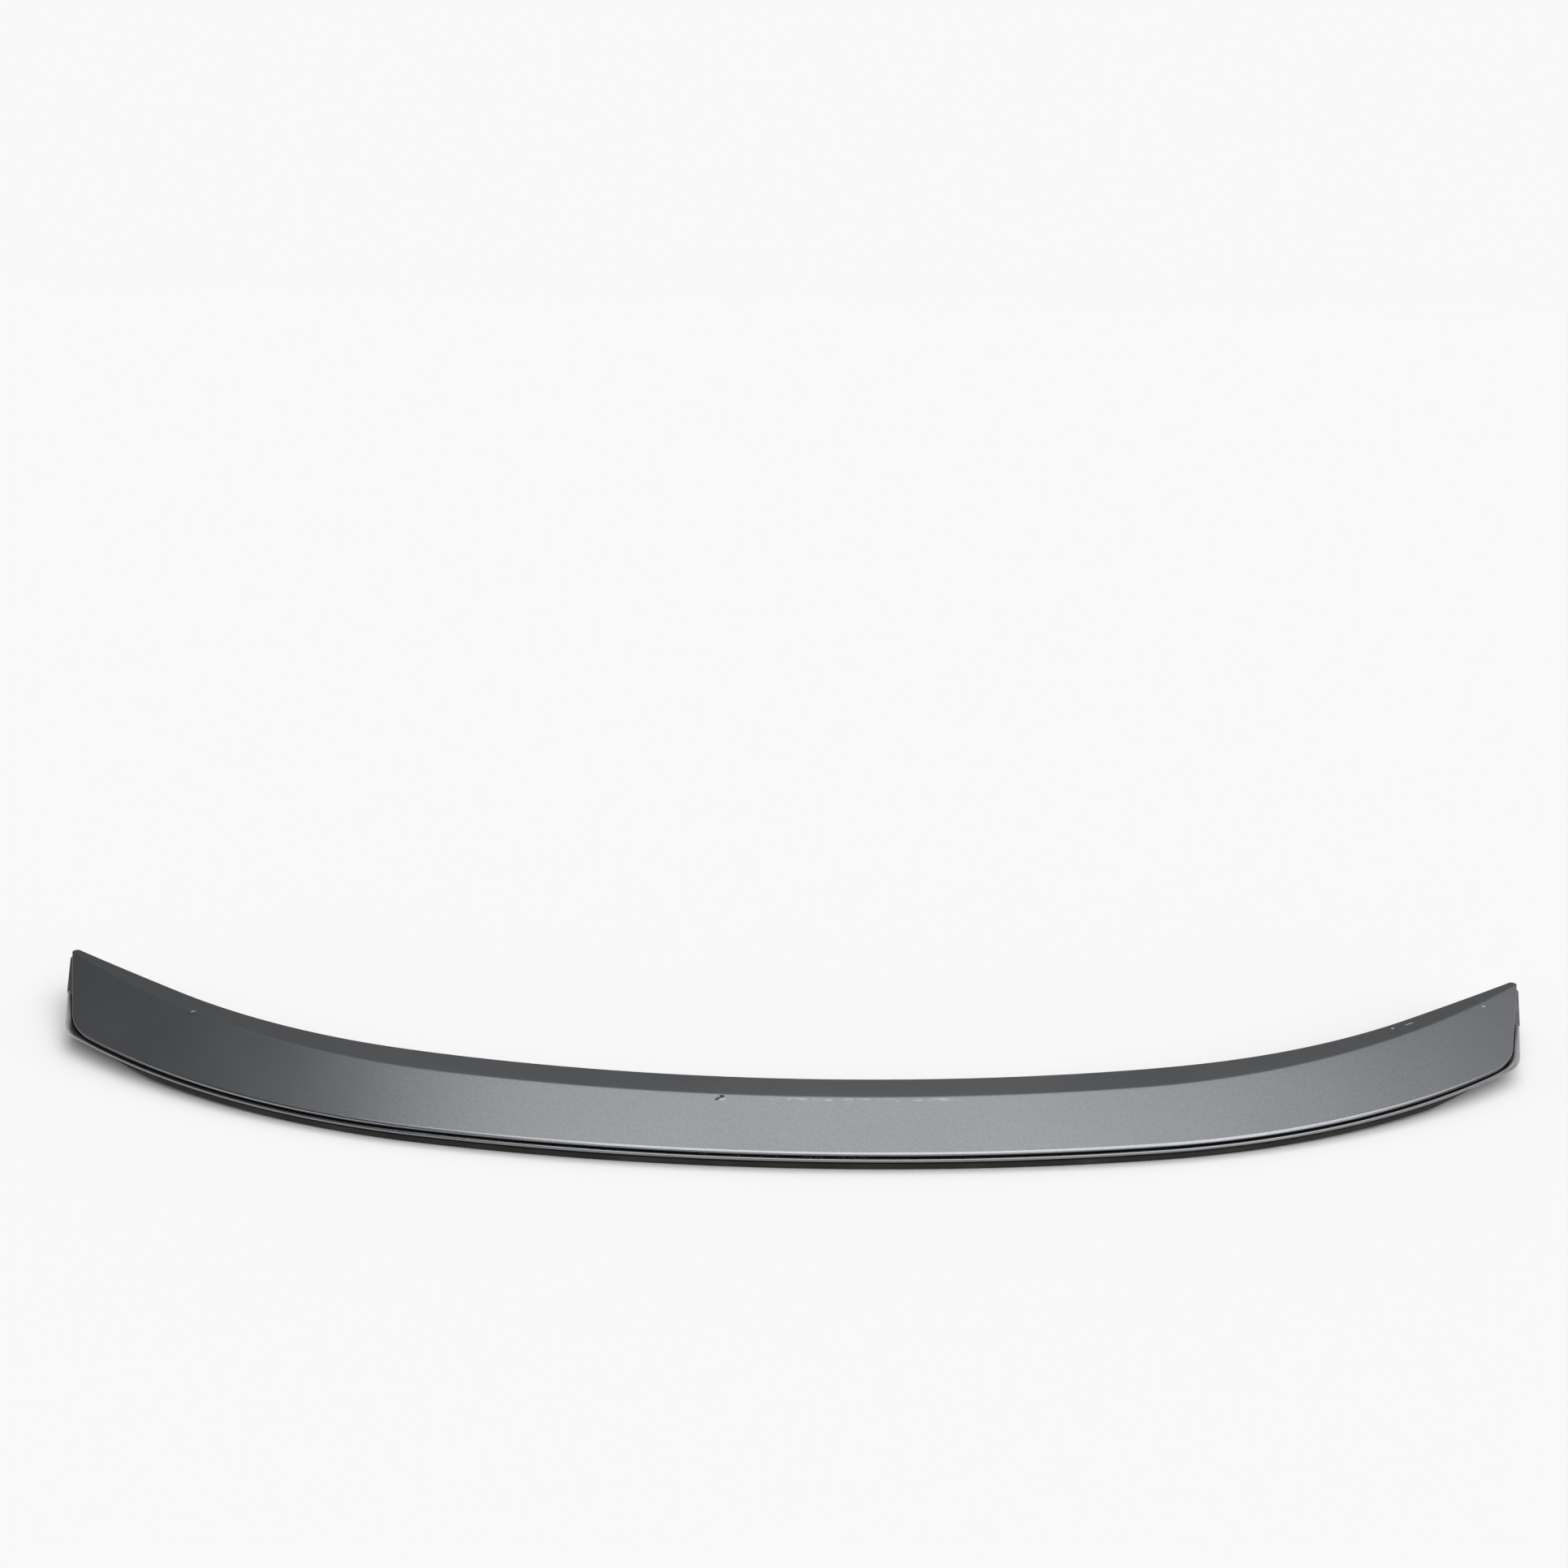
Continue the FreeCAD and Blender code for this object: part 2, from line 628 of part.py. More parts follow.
def build_base_panel(ledge):
    """The black lower shell: floor, rim wall, skirt, gussets, bosses and a bead ahead of each notch."""
    block = cut("base_block", common("base_solid", base_rim, base_lead, below_skin), below_floor)
    inner_lead = behind_lead("base_inner_lead", "sizes.lead_inset + sizes.rim_wall")
    inside = common("base_inside", base_inner_rim, inner_lead)
    tray = cut("base_tray", block, cut("base_cavity", inside, below_floor_top))
    skirt_block = common("skirt_block", base_rim, base_lead, floor_main_top)
    skirt = cut("base_skirt", skirt_block, base_inner_rim, below_skirt)
    plates = fuse("gusset_plates", *gusset_plates())
    gussets = cut("base_gussets", common("gusset_block", plates, floor_main_top), below_skirt)
    front = box("bead_room", (f"-{BLOCK_HALF}", f"{NOTCH_Y} + sizes.notch_gap", "0"),
                (BLOCK_HALF, f"{TIP_Y} + sizes.reach", ABOVE))
    beads = common("base_beads", ledge, front)
    bosses = []
    clearances = []
    for index, place in enumerate(STUDS, start=1):
        bosses.append(boss(f"stud_boss_{index}", place, "sizes.stud_boss_radius", "sizes.seat_height"))
        pocket_radius = "sizes.stud_head_radius + sizes.stud_clearance"
        hole_radius = "sizes.stud_neck_radius + sizes.stud_clearance"
        clearances += [
            cylinder(f"stud_spot_face_{index}", place, "sizes.stud_boss_radius", "0", "sizes.seat_height"),
            six_sided(f"stud_pocket_{index}", place, pocket_radius, BOSS_TOP, ABOVE),
            cylinder(f"stud_hole_{index}", place, hole_radius, "0", ABOVE),
        ]
    for index, place in enumerate(SCREWS, start=1):
        bosses.append(boss(f"screw_boss_{index}", place, "sizes.screw_boss_radius", screw_seat(place)))
        clearances.append(cylinder(f"screw_hole_{index}", place, "sizes.screw_radius + sizes.screw_clearance",
                                   "0", ABOVE))
    shell = fuse("base_shell", tray, skirt, gussets, beads, *bosses)
    return cut("base_panel", shell, fuse("base_clearances", *clearances))


def boss(name, place, radius, seat):
    """A round boss from its flat seat up to the base's floor."""
    return common(name, cylinder(f"{name}_post", place, radius, seat, ABOVE), below_floor_top)


def gusset_plates():
    """Thin plates square to the trailing edge, in the corner between skirt and floor."""
    plates = []
    pitch = number("sizes.gusset_pitch")
    for step in range(-GUSSET_SPAN, GUSSET_SPAN + 1):
        x = step * pitch
        y, inward = rear_edge(x)
        start = Vector(x, y, 0) + inward * number("sizes.rim_inset + sizes.rim_wall / 2")
        plate = doc.addObject("Part::Box", f"gusset_{step + GUSSET_SPAN + 1}")
        bind(plate, Length="sizes.gusset_wall", Width="sizes.gusset_reach", Height=ABOVE)
        turn = Rotation(Vector(0, 1, 0), inward)
        plate.Placement = Placement(start - turn.multVec(Vector(number("sizes.gusset_wall / 2"), 0, 0)), turn)
        plates.append(plate)
    return plates


def build_edge_strip(ledge):
    """The painted strip round the trailing edge and the corners, from notch to notch."""
    return common("edge_strip", ledge, room_behind("strip_room", BLOCK_HALF, NOTCH_Y))


def build_rear_seal():
    """The rubber seal: one leg outside the skirt under the strip, and a foot under the skirt."""
    outline = rim("seal_rim", rear="-sizes.seal_inset", side="-sizes.seal_inset",
                  corner="sizes.corner_radius - sizes.seal_inset")
    room = room_behind("seal_room", BLOCK_HALF, f"{REAR_Y} + sizes.seal_end")
    block = common("seal_block", outline, below_strip, room)
    skirt_room = cut("seal_skirt_room", base_rim, below_skirt)
    return cut("rear_seal", block, under_main("seal_bottom", "sizes.edge_height"), base_inner_rim, skirt_room)


def build_tapes():
    """Three strips of foam tape under the floor, behind the leading edge."""
    front = behind_lead("tape_front", "sizes.lead_inset + sizes.tape_margin")
    back = behind_lead("tape_back", "sizes.lead_inset + sizes.tape_margin + sizes.tape_width")
    bottom = common("tape_bottom", under_main("tape_main_bottom", TAPE_BOTTOM),
                    under_band("tape_band_bottom", TAPE_BOTTOM))
    layer = cut("tape_layer", common("tape_block", front, below_floor), back, bottom)
    spans = {
        "tape_left": ("-sizes.tape_end_to", "-sizes.tape_end_from"),
        "tape_centre": ("-sizes.tape_mid_half", "sizes.tape_mid_half"),
        "tape_right": ("sizes.tape_end_from", "sizes.tape_end_to"),
    }
    tapes = []
    for name, (low, high) in spans.items():
        room = box(f"{name}_room", (low, f"-{TIP_Y}", "0"), (high, TIP_Y, ABOVE))
        tapes.append(common(name, layer, room))
    return tapes


def build_studs():
    """Four studs, each a threaded shank, a plain neck through the boss and a six-sided head in its pocket."""
    studs = []
    for index, place in enumerate(STUDS, start=1):
        shank = cylinder(f"stud_shank_{index}", place, "sizes.stud_radius", "0", WASHER_BOTTOM)
        neck = cylinder(f"stud_neck_{index}", place, "sizes.stud_neck_radius", WASHER_BOTTOM, BOSS_TOP)
        head = six_sided(f"stud_head_{index}", place, "sizes.stud_head_radius", BOSS_TOP,
                         f"{BOSS_TOP} + sizes.stud_head_wall")
        studs.append(fuse(f"stud_{index}", shank, neck, head))
    return group("mounting_studs", studs)


def build_washers():
    """Four foam washers against the stud bosses."""
    washers = []
    for index, place in enumerate(STUDS, start=1):
        disc, hole = (cylinder(f"washer_{part}_{index}", place, radius, WASHER_BOTTOM, "sizes.seat_height")
                      for part, radius in (("disc", "sizes.washer_radius"), ("hole", "sizes.stud_neck_radius")))
        washers.append(cut(f"washer_{index}", disc, hole))
    return group("stud_washers", washers)


def build_screws():
    """Six-sided screws driven up through the base into the skin's bosses."""
    screws = []
    for index, place in enumerate(SCREWS, start=1):
        seat = screw_seat(place)
        head = six_sided(f"screw_head_{index}", place, "sizes.screw_head_radius",
                         f"{seat} - sizes.screw_head_wall", seat)
        screws.append(fuse(f"screw_{index}", head, screw_shank(f"screw_shank_{index}", place, seat)))
    return group("skin_screws", screws)


def write(pieces):
    """Checks every object, then writes each piece to its own file."""
    doc.recompute()
    failed = [item.Name for item in doc.Objects if {"Invalid", "Error"} & set(item.State)]
    assert not failed, f"these did not build: {failed}"
    for piece in pieces:
        piece.Label = piece.Name
        assert not piece.Shape.isNull() and piece.Shape.isValid(), f"{piece.Name} is not a sound solid"
        assert piece.Shape.Solids, f"{piece.Name} has no solid"
    os.makedirs("parts", exist_ok=True)
    for piece in pieces:
        piece.Shape.exportStep(f"parts/{piece.Label}.step")
        bounds = piece.Shape.optimalBoundingBox(False)
        print(f"{piece.Label}: {len(piece.Shape.Solids)} solid, {piece.Shape.Volume / 1000:.1f} cm3, "
              f"x {bounds.XMin:.2f} {bounds.XMax:.2f} y {bounds.YMin:.2f} {bounds.YMax:.2f} "
              f"z {bounds.ZMin:.2f} {bounds.ZMax:.2f}")


def main():
    ledge = build_ledge()
    pieces = [build_upper_skin(), build_base_panel(ledge), build_edge_strip(ledge), build_rear_seal(),
              *build_tapes(), build_studs(), build_washers(), build_screws()]
    write(pieces)


main()
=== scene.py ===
"""Dresses the trunk lid spoiler: painted skin and edge strip, black base, rubber seal, studs, screws and foam.

Lengths are millimetres in the row frame unless a name says otherwise. X runs from end to end, Y from the trailing
edge to the pointed ends, and Z up. The trailing edge is the side towards the camera.
"""

import logging
import math
from collections.abc import Callable
from dataclasses import dataclass, field
from enum import Enum

import bmesh
import bpy
from mathutils import Matrix, Vector


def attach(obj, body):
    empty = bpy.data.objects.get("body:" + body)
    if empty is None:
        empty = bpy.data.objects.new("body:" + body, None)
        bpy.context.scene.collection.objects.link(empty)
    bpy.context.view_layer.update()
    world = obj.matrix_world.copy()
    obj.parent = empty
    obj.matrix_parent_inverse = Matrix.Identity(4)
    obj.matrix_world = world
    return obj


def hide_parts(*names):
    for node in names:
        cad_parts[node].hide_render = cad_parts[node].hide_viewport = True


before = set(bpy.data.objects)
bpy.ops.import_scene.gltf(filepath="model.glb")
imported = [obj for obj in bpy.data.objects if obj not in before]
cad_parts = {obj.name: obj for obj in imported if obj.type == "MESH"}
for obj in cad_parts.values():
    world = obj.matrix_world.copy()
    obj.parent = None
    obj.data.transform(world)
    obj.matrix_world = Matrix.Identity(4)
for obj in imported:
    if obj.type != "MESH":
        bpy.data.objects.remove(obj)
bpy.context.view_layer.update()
MM = 0.001
UP = Vector((0.0, 0.0, 1.0))
SAME_POINT_M = 1e-7
SOLID_POINT_M = 1e-6
HALVINGS = 50
GRID_DIGITS = 5
# Point attribute for painted shade: near black laid on the foot of the skin's rim, in the strip's groove and in the
# seal's recess under the strip, where shade falls.
PAINTED_SHADE = "painted_shade"
PAINTED_SHADE_EDGE = (0.1, 0.9)
LOG = logging.getLogger("trunk_spoiler")


class Slot(Enum):
    """Material slots of the record."""

    PAINT = "paint"
    BLACK_PLASTIC = "black_plastic"
    SEAL_RUBBER = "seal_rubber"
    PLATED_STEEL = "plated_steel"
    FOAM = "foam"


class Signal:
    """A shader value that takes part in arithmetic; each operator adds a Math node."""

    def __init__(self, graph: "Graph", socket: bpy.types.NodeSocket) -> None:
        """Wraps an output socket of a graph."""
        self.graph = graph
        self.socket = socket

    def maths(self, operation: str, *values: "Signal | float") -> "Signal":
        """Adds a Math node.

        Args:
            operation: the Math node's operation.
            values: its operands in order.

        Returns:
            The node's value.
        """
        node = self.graph.node("ShaderNodeMath", {"operation": operation}, dict(enumerate(values)))
        return Signal(self.graph, node.outputs["Value"])

    def __add__(self, other: "Signal | float") -> "Signal":
        """The sum."""
        return self.maths("ADD", self, other)

    def __radd__(self, other: float) -> "Signal":
        """The sum with a number first."""
        return self.maths("ADD", other, self)

    def __sub__(self, other: "Signal | float") -> "Signal":
        """The difference."""
        return self.maths("SUBTRACT", self, other)

    def __rsub__(self, other: float) -> "Signal":
        """A number less this value."""
        return self.maths("SUBTRACT", other, self)

    def __mul__(self, other: "Signal | float") -> "Signal":
        """The product."""
        return self.maths("MULTIPLY", self, other)

    def __rmul__(self, other: float) -> "Signal":
        """The product with a number first."""
        return self.maths("MULTIPLY", other, self)

    def size(self) -> "Signal":
        """The value without its sign."""
        return self.maths("ABSOLUTE", self)

    def highest(self, other: "Signal | float") -> "Signal":
        """The larger of two values."""
        return self.maths("MAXIMUM", self, other)

    def ramp(self, low: float, high: float) -> "Signal":
        """Runs smoothly from 0 to 1 between two values.

        Args:
            low: the value up to which it is 0.
            high: the value from which it is 1.

        Returns:
            The new value.
        """
        node = self.graph.node(
            "ShaderNodeMapRange", {"interpolation_type": "SMOOTHSTEP"},
            {"Value": self, "From Min": low, "From Max": high})
        return Signal(self.graph, node.outputs["Result"])


class Graph:
    """The node tree of one material or of the world."""

    def __init__(self, tree: bpy.types.NodeTree) -> None:
        """Takes a tree and clears it."""
        self.tree = tree
        tree.nodes.clear()

    def node(self, kind: str, settings: dict[str, object] | None = None,
             inputs: dict[str | int, object] | None = None) -> bpy.types.Node:
        """Creates any node.

        Args:
            kind: the node's type.
            settings: its own properties, set before its sockets.
            inputs: a value, a signal or a socket for each input, by identifier, name or place.

        Returns:
            The node.
        """
        node = self.tree.nodes.new(kind)
        for name, value in (settings or {}).items():
            setattr(node, name, value)
        for key, value in (inputs or {}).items():
            by_identifier = {socket.identifier: socket for socket in node.inputs}
            socket = by_identifier[key] if key in by_identifier else node.inputs[key]
            source = value.socket if isinstance(value, Signal) else value
            if isinstance(source, bpy.types.NodeSocket):
                self.tree.links.new(source, socket)
            else:
                socket.default_value = source
        return node

    def place(self) -> bpy.types.NodeSocket:
        """The point on the piece, in metres of the row frame."""
        return self.node("ShaderNodeTexCoord").outputs["Object"]

    def axes(self, vector: bpy.types.NodeSocket, scale: float = 1.0) -> tuple[Signal, Signal, Signal]:
        """The three parts of a vector.

        Args:
            vector: the vector.
            scale: what each part is multiplied by.

        Returns:
            The parts along X, Y and Z.
        """
        split = self.node("ShaderNodeSeparateXYZ", None, {"Vector": vector})
        across, ahead, above = (Signal(self, split.outputs[axis]) * scale for axis in "XYZ")
        return across, ahead, above

    def stretched(self, scale: tuple[float, float, float]) -> bpy.types.NodeSocket:
        """The point on the piece, scaled along each axis."""
        return self.node("ShaderNodeMapping", None, {"Vector": self.place(), "Scale": scale}).outputs["Vector"]

    def noise(self, scale: float, detail: float = 2.0, where: bpy.types.NodeSocket | None = None) -> Signal:
        """Smooth noise from 0 to 1.

        Args:
            scale: features per metre.
            detail: octaves.
            where: the point to read, the piece's own if left out.

        Returns:
            The noise.
        """
        node = self.node("ShaderNodeTexNoise", {"noise_dimensions": "3D"},
                         {"Vector": where or self.place(), "Scale": scale, "Detail": detail})
        return Signal(self, node.outputs[0])

    def cells(self, scale: float, feature: str = "F1") -> bpy.types.Node:
        """Cells of a Voronoi pattern, with scale cells per metre."""
        return self.node("ShaderNodeTexVoronoi", {"feature": feature}, {"Vector": self.place(), "Scale": scale})

    def oval(self, middle: Vector, half_length: float, half_width: float, turn: float) -> Signal:
        """How far the surface is from the middle of an oval, as a share of the way to its rim.

        Args:
            middle: its middle.
            half_length: half its length.
            half_width: half its width.
            turn: angle from X to its length, seen from above.

        Returns:
            0 in the middle and 1 on the rim.
        """
        inside = self.node("ShaderNodeMapping", {"vector_type": "TEXTURE"}, {
            "Vector": self.place(), "Location": middle * MM, "Rotation": (0.0, 0.0, turn),
            "Scale": Vector((half_length, half_width, half_length)) * MM})
        span = self.node("ShaderNodeVectorMath", {"operation": "LENGTH"}, {0: inside.outputs["Vector"]})
        return Signal(self, span.outputs["Value"])

    def painted_shade(self) -> Signal:
        """1 where the piece's own attribute marks painted shade."""
        node = self.node("ShaderNodeAttribute", {"attribute_name": PAINTED_SHADE})
        return Signal(self, node.outputs["Fac"]).ramp(*PAINTED_SHADE_EDGE)

    def blend(self, factor: Signal, first: object, second: object) -> bpy.types.NodeSocket:
        """Mixes two colours.

        Args:
            factor: 0 for the first colour and 1 for the second.
            first: a colour or a socket.
            second: a colour or a socket.

        Returns:
            The mixed colour.
        """
        node = self.node("ShaderNodeMix", {"data_type": "RGBA"},
                         {"Factor_Float": factor, "A_Color": first, "B_Color": second})
        return next(socket for socket in node.outputs if socket.identifier == "Result_Color")

    def bump(self, height: Signal, depth_mm: float, strength: float = 1.0) -> bpy.types.NodeSocket:
        """A surface normal bent by a height from 0 to 1.

        Args:
            height: the relief.
            depth_mm: how deep the relief is.
            strength: share of the effect.

        Returns:
            The normal.
        """
        node = self.node("ShaderNodeBump", None, {"Strength": strength, "Distance": depth_mm * MM, "Height": height})
        return node.outputs["Normal"]


def grey(value: float, blue: float = 0.0) -> tuple[float, float, float, float]:
    """A linear grey, a little cooler where blue is above 0."""
    return (value * (1 - blue), value, value * (1 + 2 * blue), 1.0)


@dataclass(frozen=True)
class Finish:
    """A surface finish that makes its own material."""

    name: str

    def surface(self, graph: Graph) -> bpy.types.Node:
        """The finish's shader."""
        raise NotImplementedError

    def material(self) -> bpy.types.Material:
        """Makes a material with this finish.

        Returns:
            The new material.
        """
        material = bpy.data.materials.new(self.name)
        material.use_nodes = True
        graph = Graph(material.node_tree)
        shader = self.surface(graph)
        graph.node("ShaderNodeOutputMaterial", None, {"Surface": shader.outputs[0]})
        return material


@dataclass(frozen=True)
class Mark:
    """A small ragged mark in the paint: its middle, half its length and width, and its turn from X in degrees."""

    x: float
    y: float
    z: float
    half_length: float
    half_width: float
    turn: float
    raggedness: float = 0.7
    ragged_per_metre: float = 900.0
    edge: tuple[float, float] = (0.55, 1.0)

    def mask(self, graph: Graph) -> Signal:
        """Where the mark is.

        Args:
            graph: the finish's graph.

        Returns:
            1 on the mark and 0 around it.
        """
        middle = Vector((self.x, self.y, self.z))
        share = graph.oval(middle, self.half_length, self.half_width, math.radians(self.turn))
        ragged = self.raggedness * (graph.noise(self.ragged_per_metre, detail=3.0) - 0.5)
        return 1.0 - (share + ragged).ramp(*self.edge)


@dataclass(frozen=True)
class MetallicPaint(Finish):
    """Dark grey metallic paint under clear coat, with fine flake and faint haze."""

    colour: float = 0.3
    blue: float = 0.03
    flakes_per_metre: float = 1400.0
    flake_contrast: float = 0.25
    shades: tuple[float, float] = (0.5, 1.5)
    mean_shade: float = 0.94
    roughness: float = 0.2
    metallic: float = 0.97
    coat_roughness: float = 0.06
    haze_per_metre: float = 9.0
    haze_shade: float = 0.12
    haze_coat: float = 0.2
    haze_metallic: float = 0.02
    haze_roughness: float = 0.08
    # Near black laid as painted shade where the piece's attribute marks it.
    painted_shade: float = 0.006

    def wear_and_painted_light(self, graph: Graph) -> list[tuple[Signal, tuple[float, float, float, float]]]:
        """Masks of painted shade, each with the colour laid there."""
        return [(graph.painted_shade(), grey(self.painted_shade))]

    def surface(self, graph: Graph) -> bpy.types.Node:
        """Flake in the colour, haze in the gloss, and painted shade and marks laid in place of paint and coat.

        Args:
            graph: the finish's graph.

        Returns:
            The shader.
        """
        flake = Signal(graph, graph.cells(self.flakes_per_metre).outputs["Color"])
        haze = graph.noise(self.haze_per_metre, detail=3.0)
        shade = flake * self.flake_contrast + haze * self.haze_shade + (self.mean_shade - self.flake_contrast / 2)
        dark, bright = (grey(self.colour * end, self.blue) for end in self.shades)
        colour = graph.blend(shade - self.shades[0], dark, bright)
        coat = 1.0 - self.haze_coat * haze
        metallic = self.metallic + self.haze_metallic * haze
        # Each mask lays its colour in place of the paint, its coat and its metal: painted shade, and on the skin
        # also wear and a painted highlight.
        for mask, shown in self.wear_and_painted_light(graph):
            colour = graph.blend(mask, colour, shown)
            coat = coat * (1.0 - mask)
            metallic = metallic * (1.0 - mask)
        return graph.node("ShaderNodeBsdfPrincipled", None, {
            "Base Color": colour, "Metallic": metallic, "Roughness": self.roughness + self.haze_roughness * haze,
            "Coat Weight": coat, "Coat Roughness": self.coat_roughness})


@dataclass(frozen=True)
class WornPaint(MetallicPaint):
    """The skin's paint, with a chip, a painted highlight along the chip's lower rim, a few specks and fine flecks
    along the crease.
    """

    crease_y: float = -64.7
    crease_bend: float = 3.72e-4
    flecks_from: float = -25.0
    flecks_to: float = 125.0
    flecks_fade: float = 20.0
    fleck_offset: float = 3.0
    fleck_reach: tuple[float, float] = (0.6, 2.4)
    fleck_stretch: tuple[float, float, float] = (140.0, 700.0, 700.0)
    fleck_cut: tuple[float, float] = (0.5, 0.6)
    fleck_cover: float = 0.6
    fleck_grey: float = 0.55
    speck_cover: float = 0.7
    speck_grey: float = 0.45
    # Pale painted highlight along the chip's lower rim, where raised paint catches light.
    chip_highlight_cover: float = 0.6
    chip_highlight_grey: float = 0.5
    chip_grey: float = 0.012
    chip: tuple[Mark, ...] = (Mark(-45.2, -66.2, 20.6, 2.4, 2.2, 30.0), Mark(-48.2, -69.0, 20.2, 3.0, 1.4, 42.0))
    chip_highlight: tuple[Mark, ...] = (Mark(-44.4, -69.4, 20.1, 3.0, 1.4, 30.0),)
    specks: tuple[Mark, ...] = (
        Mark(-449.9, 33.7, 26.1, 2.4, 1.3, 30.0), Mark(539.9, 85.8, 29.9, 2.0, 1.4, 25.0),
        Mark(458.0, 52.0, 26.2, 2.0, 1.5, 30.0), Mark(473.0, 59.0, 27.0, 6.0, 0.8, 30.0))

    @staticmethod
    def together(graph: Graph, marks: tuple[Mark, ...]) -> Signal:
        """One mask of several marks.

        Args:
            graph: the finish's graph.
            marks: the marks, at least one.

        Returns:
            1 on any of the marks and 0 around them.
        """
        mask = marks[0].mask(graph)
        for mark in marks[1:]:
            mask = mask.highest(mark.mask(graph))
        return mask

    def flecks(self, graph: Graph) -> Signal:
        """Fine flecks on the viewer's side of the crease, in the middle of the part.

        Args:
            graph: the finish's graph.

        Returns:
            1 on a fleck and 0 elsewhere.
        """
        across, ahead, _ = graph.axes(graph.place(), 1 / MM)
        crease = self.crease_bend * across * across + self.crease_y
        beside = (ahead - crease + self.fleck_offset).size()
        streaks = graph.noise(1.0, detail=4.0, where=graph.stretched(self.fleck_stretch)).ramp(*self.fleck_cut)
        begun = across.ramp(self.flecks_from, self.flecks_from + self.flecks_fade)
        ended = across.ramp(self.flecks_to - self.flecks_fade, self.flecks_to)
        return streaks * begun * (1.0 - ended) * (1.0 - beside.ramp(*self.fleck_reach))

    def wear_and_painted_light(self, graph: Graph) -> list[tuple[Signal, tuple[float, float, float, float]]]:
        """The painted shade, then pale flecks and specks, then the chip over the painted highlight along its lower
        rim.

        Args:
            graph: the finish's graph.

        Returns:
            Masks, each with the colour that shows there, in the order they are laid on.
        """
        return [*super().wear_and_painted_light(graph), (self.fleck_cover * self.flecks(graph), grey(self.fleck_grey)),
                (self.speck_cover * self.together(graph, self.specks), grey(self.speck_grey)),
                (self.chip_highlight_cover * self.together(graph, self.chip_highlight), grey(self.chip_highlight_grey)),
                (self.together(graph, self.chip), grey(self.chip_grey))]


@dataclass(frozen=True)
class GrainedPlastic(Finish):
    """Black moulded plastic with a fine grain and faint scuffs, and paint beyond the line of the skin's ends."""

    end: tuple[float, float]
    flare: float
    colour: float = 0.016
    grain_per_metre: float = 900.0
    grain_depth: float = 0.06
    grain_roughness: float = 0.1
    roughness: float = 0.5
    scuff_stretch: tuple[float, float, float] = (14.0, 70.0, 70.0)
    scuff_cut: tuple[float, float] = (0.58, 0.75)
    scuff_colour: float = 0.0384
    scuff_roughness: float = 0.18
    bead: float = 0.22
    bead_start: float = 0.2
    bead_metallic: float = 0.9
    bead_smoothness: float = 0.5

    def painted(self, graph: Graph) -> Signal:
        """The bead that stands out beyond the skin's ends, which has paint on it.

        Args:
            graph: the finish's graph.

        Returns:
            1 on the bead and 0 elsewhere.
        """
        across, ahead, _ = graph.axes(graph.place(), 1 / MM)
        end_x, end_y = self.end
        beyond = (across.size() - end_x) * math.cos(self.flare) - (ahead - end_y) * math.sin(self.flare)
        return beyond.ramp(self.bead_start, 2 * self.bead_start)

    def surface(self, graph: Graph) -> bpy.types.Node:
        """Grain as relief, scuffs as paler and duller streaks, and paint on the bead at each end.

        Args:
            graph: the finish's graph.

        Returns:
            The shader.
        """
        painted = self.painted(graph)
        grain = Signal(graph, graph.cells(self.grain_per_metre, "SMOOTH_F1").outputs["Distance"])
        scuff = graph.noise(1.0, detail=5.0, where=graph.stretched(self.scuff_stretch)).ramp(*self.scuff_cut)
        colour = graph.blend(scuff, grey(self.colour), grey(self.scuff_colour))
        colour = graph.blend(painted, colour, grey(self.bead))
        roughness = self.roughness + self.scuff_roughness * scuff + self.grain_roughness * grain
        return graph.node("ShaderNodeBsdfPrincipled", None, {
            "Base Color": colour, "Roughness": roughness * (1.0 - self.bead_smoothness * painted),
            "Metallic": self.bead_metallic * painted,
            "Normal": graph.bump(grain * (1.0 - painted), self.grain_depth)})


@dataclass(frozen=True)
class SealRubber(Finish):
    """Dull black rubber with a dusty bloom, faint lines from its extrusion and painted shade, near black, in its
    recess under the strip.
    """

    colour: float = 0.02
    bloom: float = 0.04
    # Near black laid in the recess under the strip as painted shade.
    recess_shade: float = 0.002
    warmth: float = 0.05
    bloom_per_metre: float = 26.0
    bloom_cut: tuple[float, float] = (0.42, 0.75)
    bloom_roughness: float = 0.12
    line_stretch: tuple[float, float, float] = (6.0, 6.0, 2600.0)
    line_depth: float = 0.05
    line_strength: float = 0.6
    roughness: float = 0.7
    specular: float = 0.2

    def surface(self, graph: Graph) -> bpy.types.Node:
        """Bloom in patches, extrusion lines along the length and painted shade, blacker, in the recess.

        Args:
            graph: the finish's graph.

        Returns:
            The shader.
        """
        bloom = graph.noise(self.bloom_per_metre, detail=6.0).ramp(*self.bloom_cut)
        dusty = graph.blend(bloom, grey(self.colour, -self.warmth), grey(self.bloom, -self.warmth))
        lines = graph.noise(1.0, detail=2.0, where=graph.stretched(self.line_stretch))
        return graph.node("ShaderNodeBsdfPrincipled", None, {
            "Base Color": graph.blend(graph.painted_shade(), dusty, grey(self.recess_shade)),
            "Roughness": self.roughness + self.bloom_roughness * bloom, "Specular IOR Level": self.specular,
            "Normal": graph.bump(lines, self.line_depth, self.line_strength)})


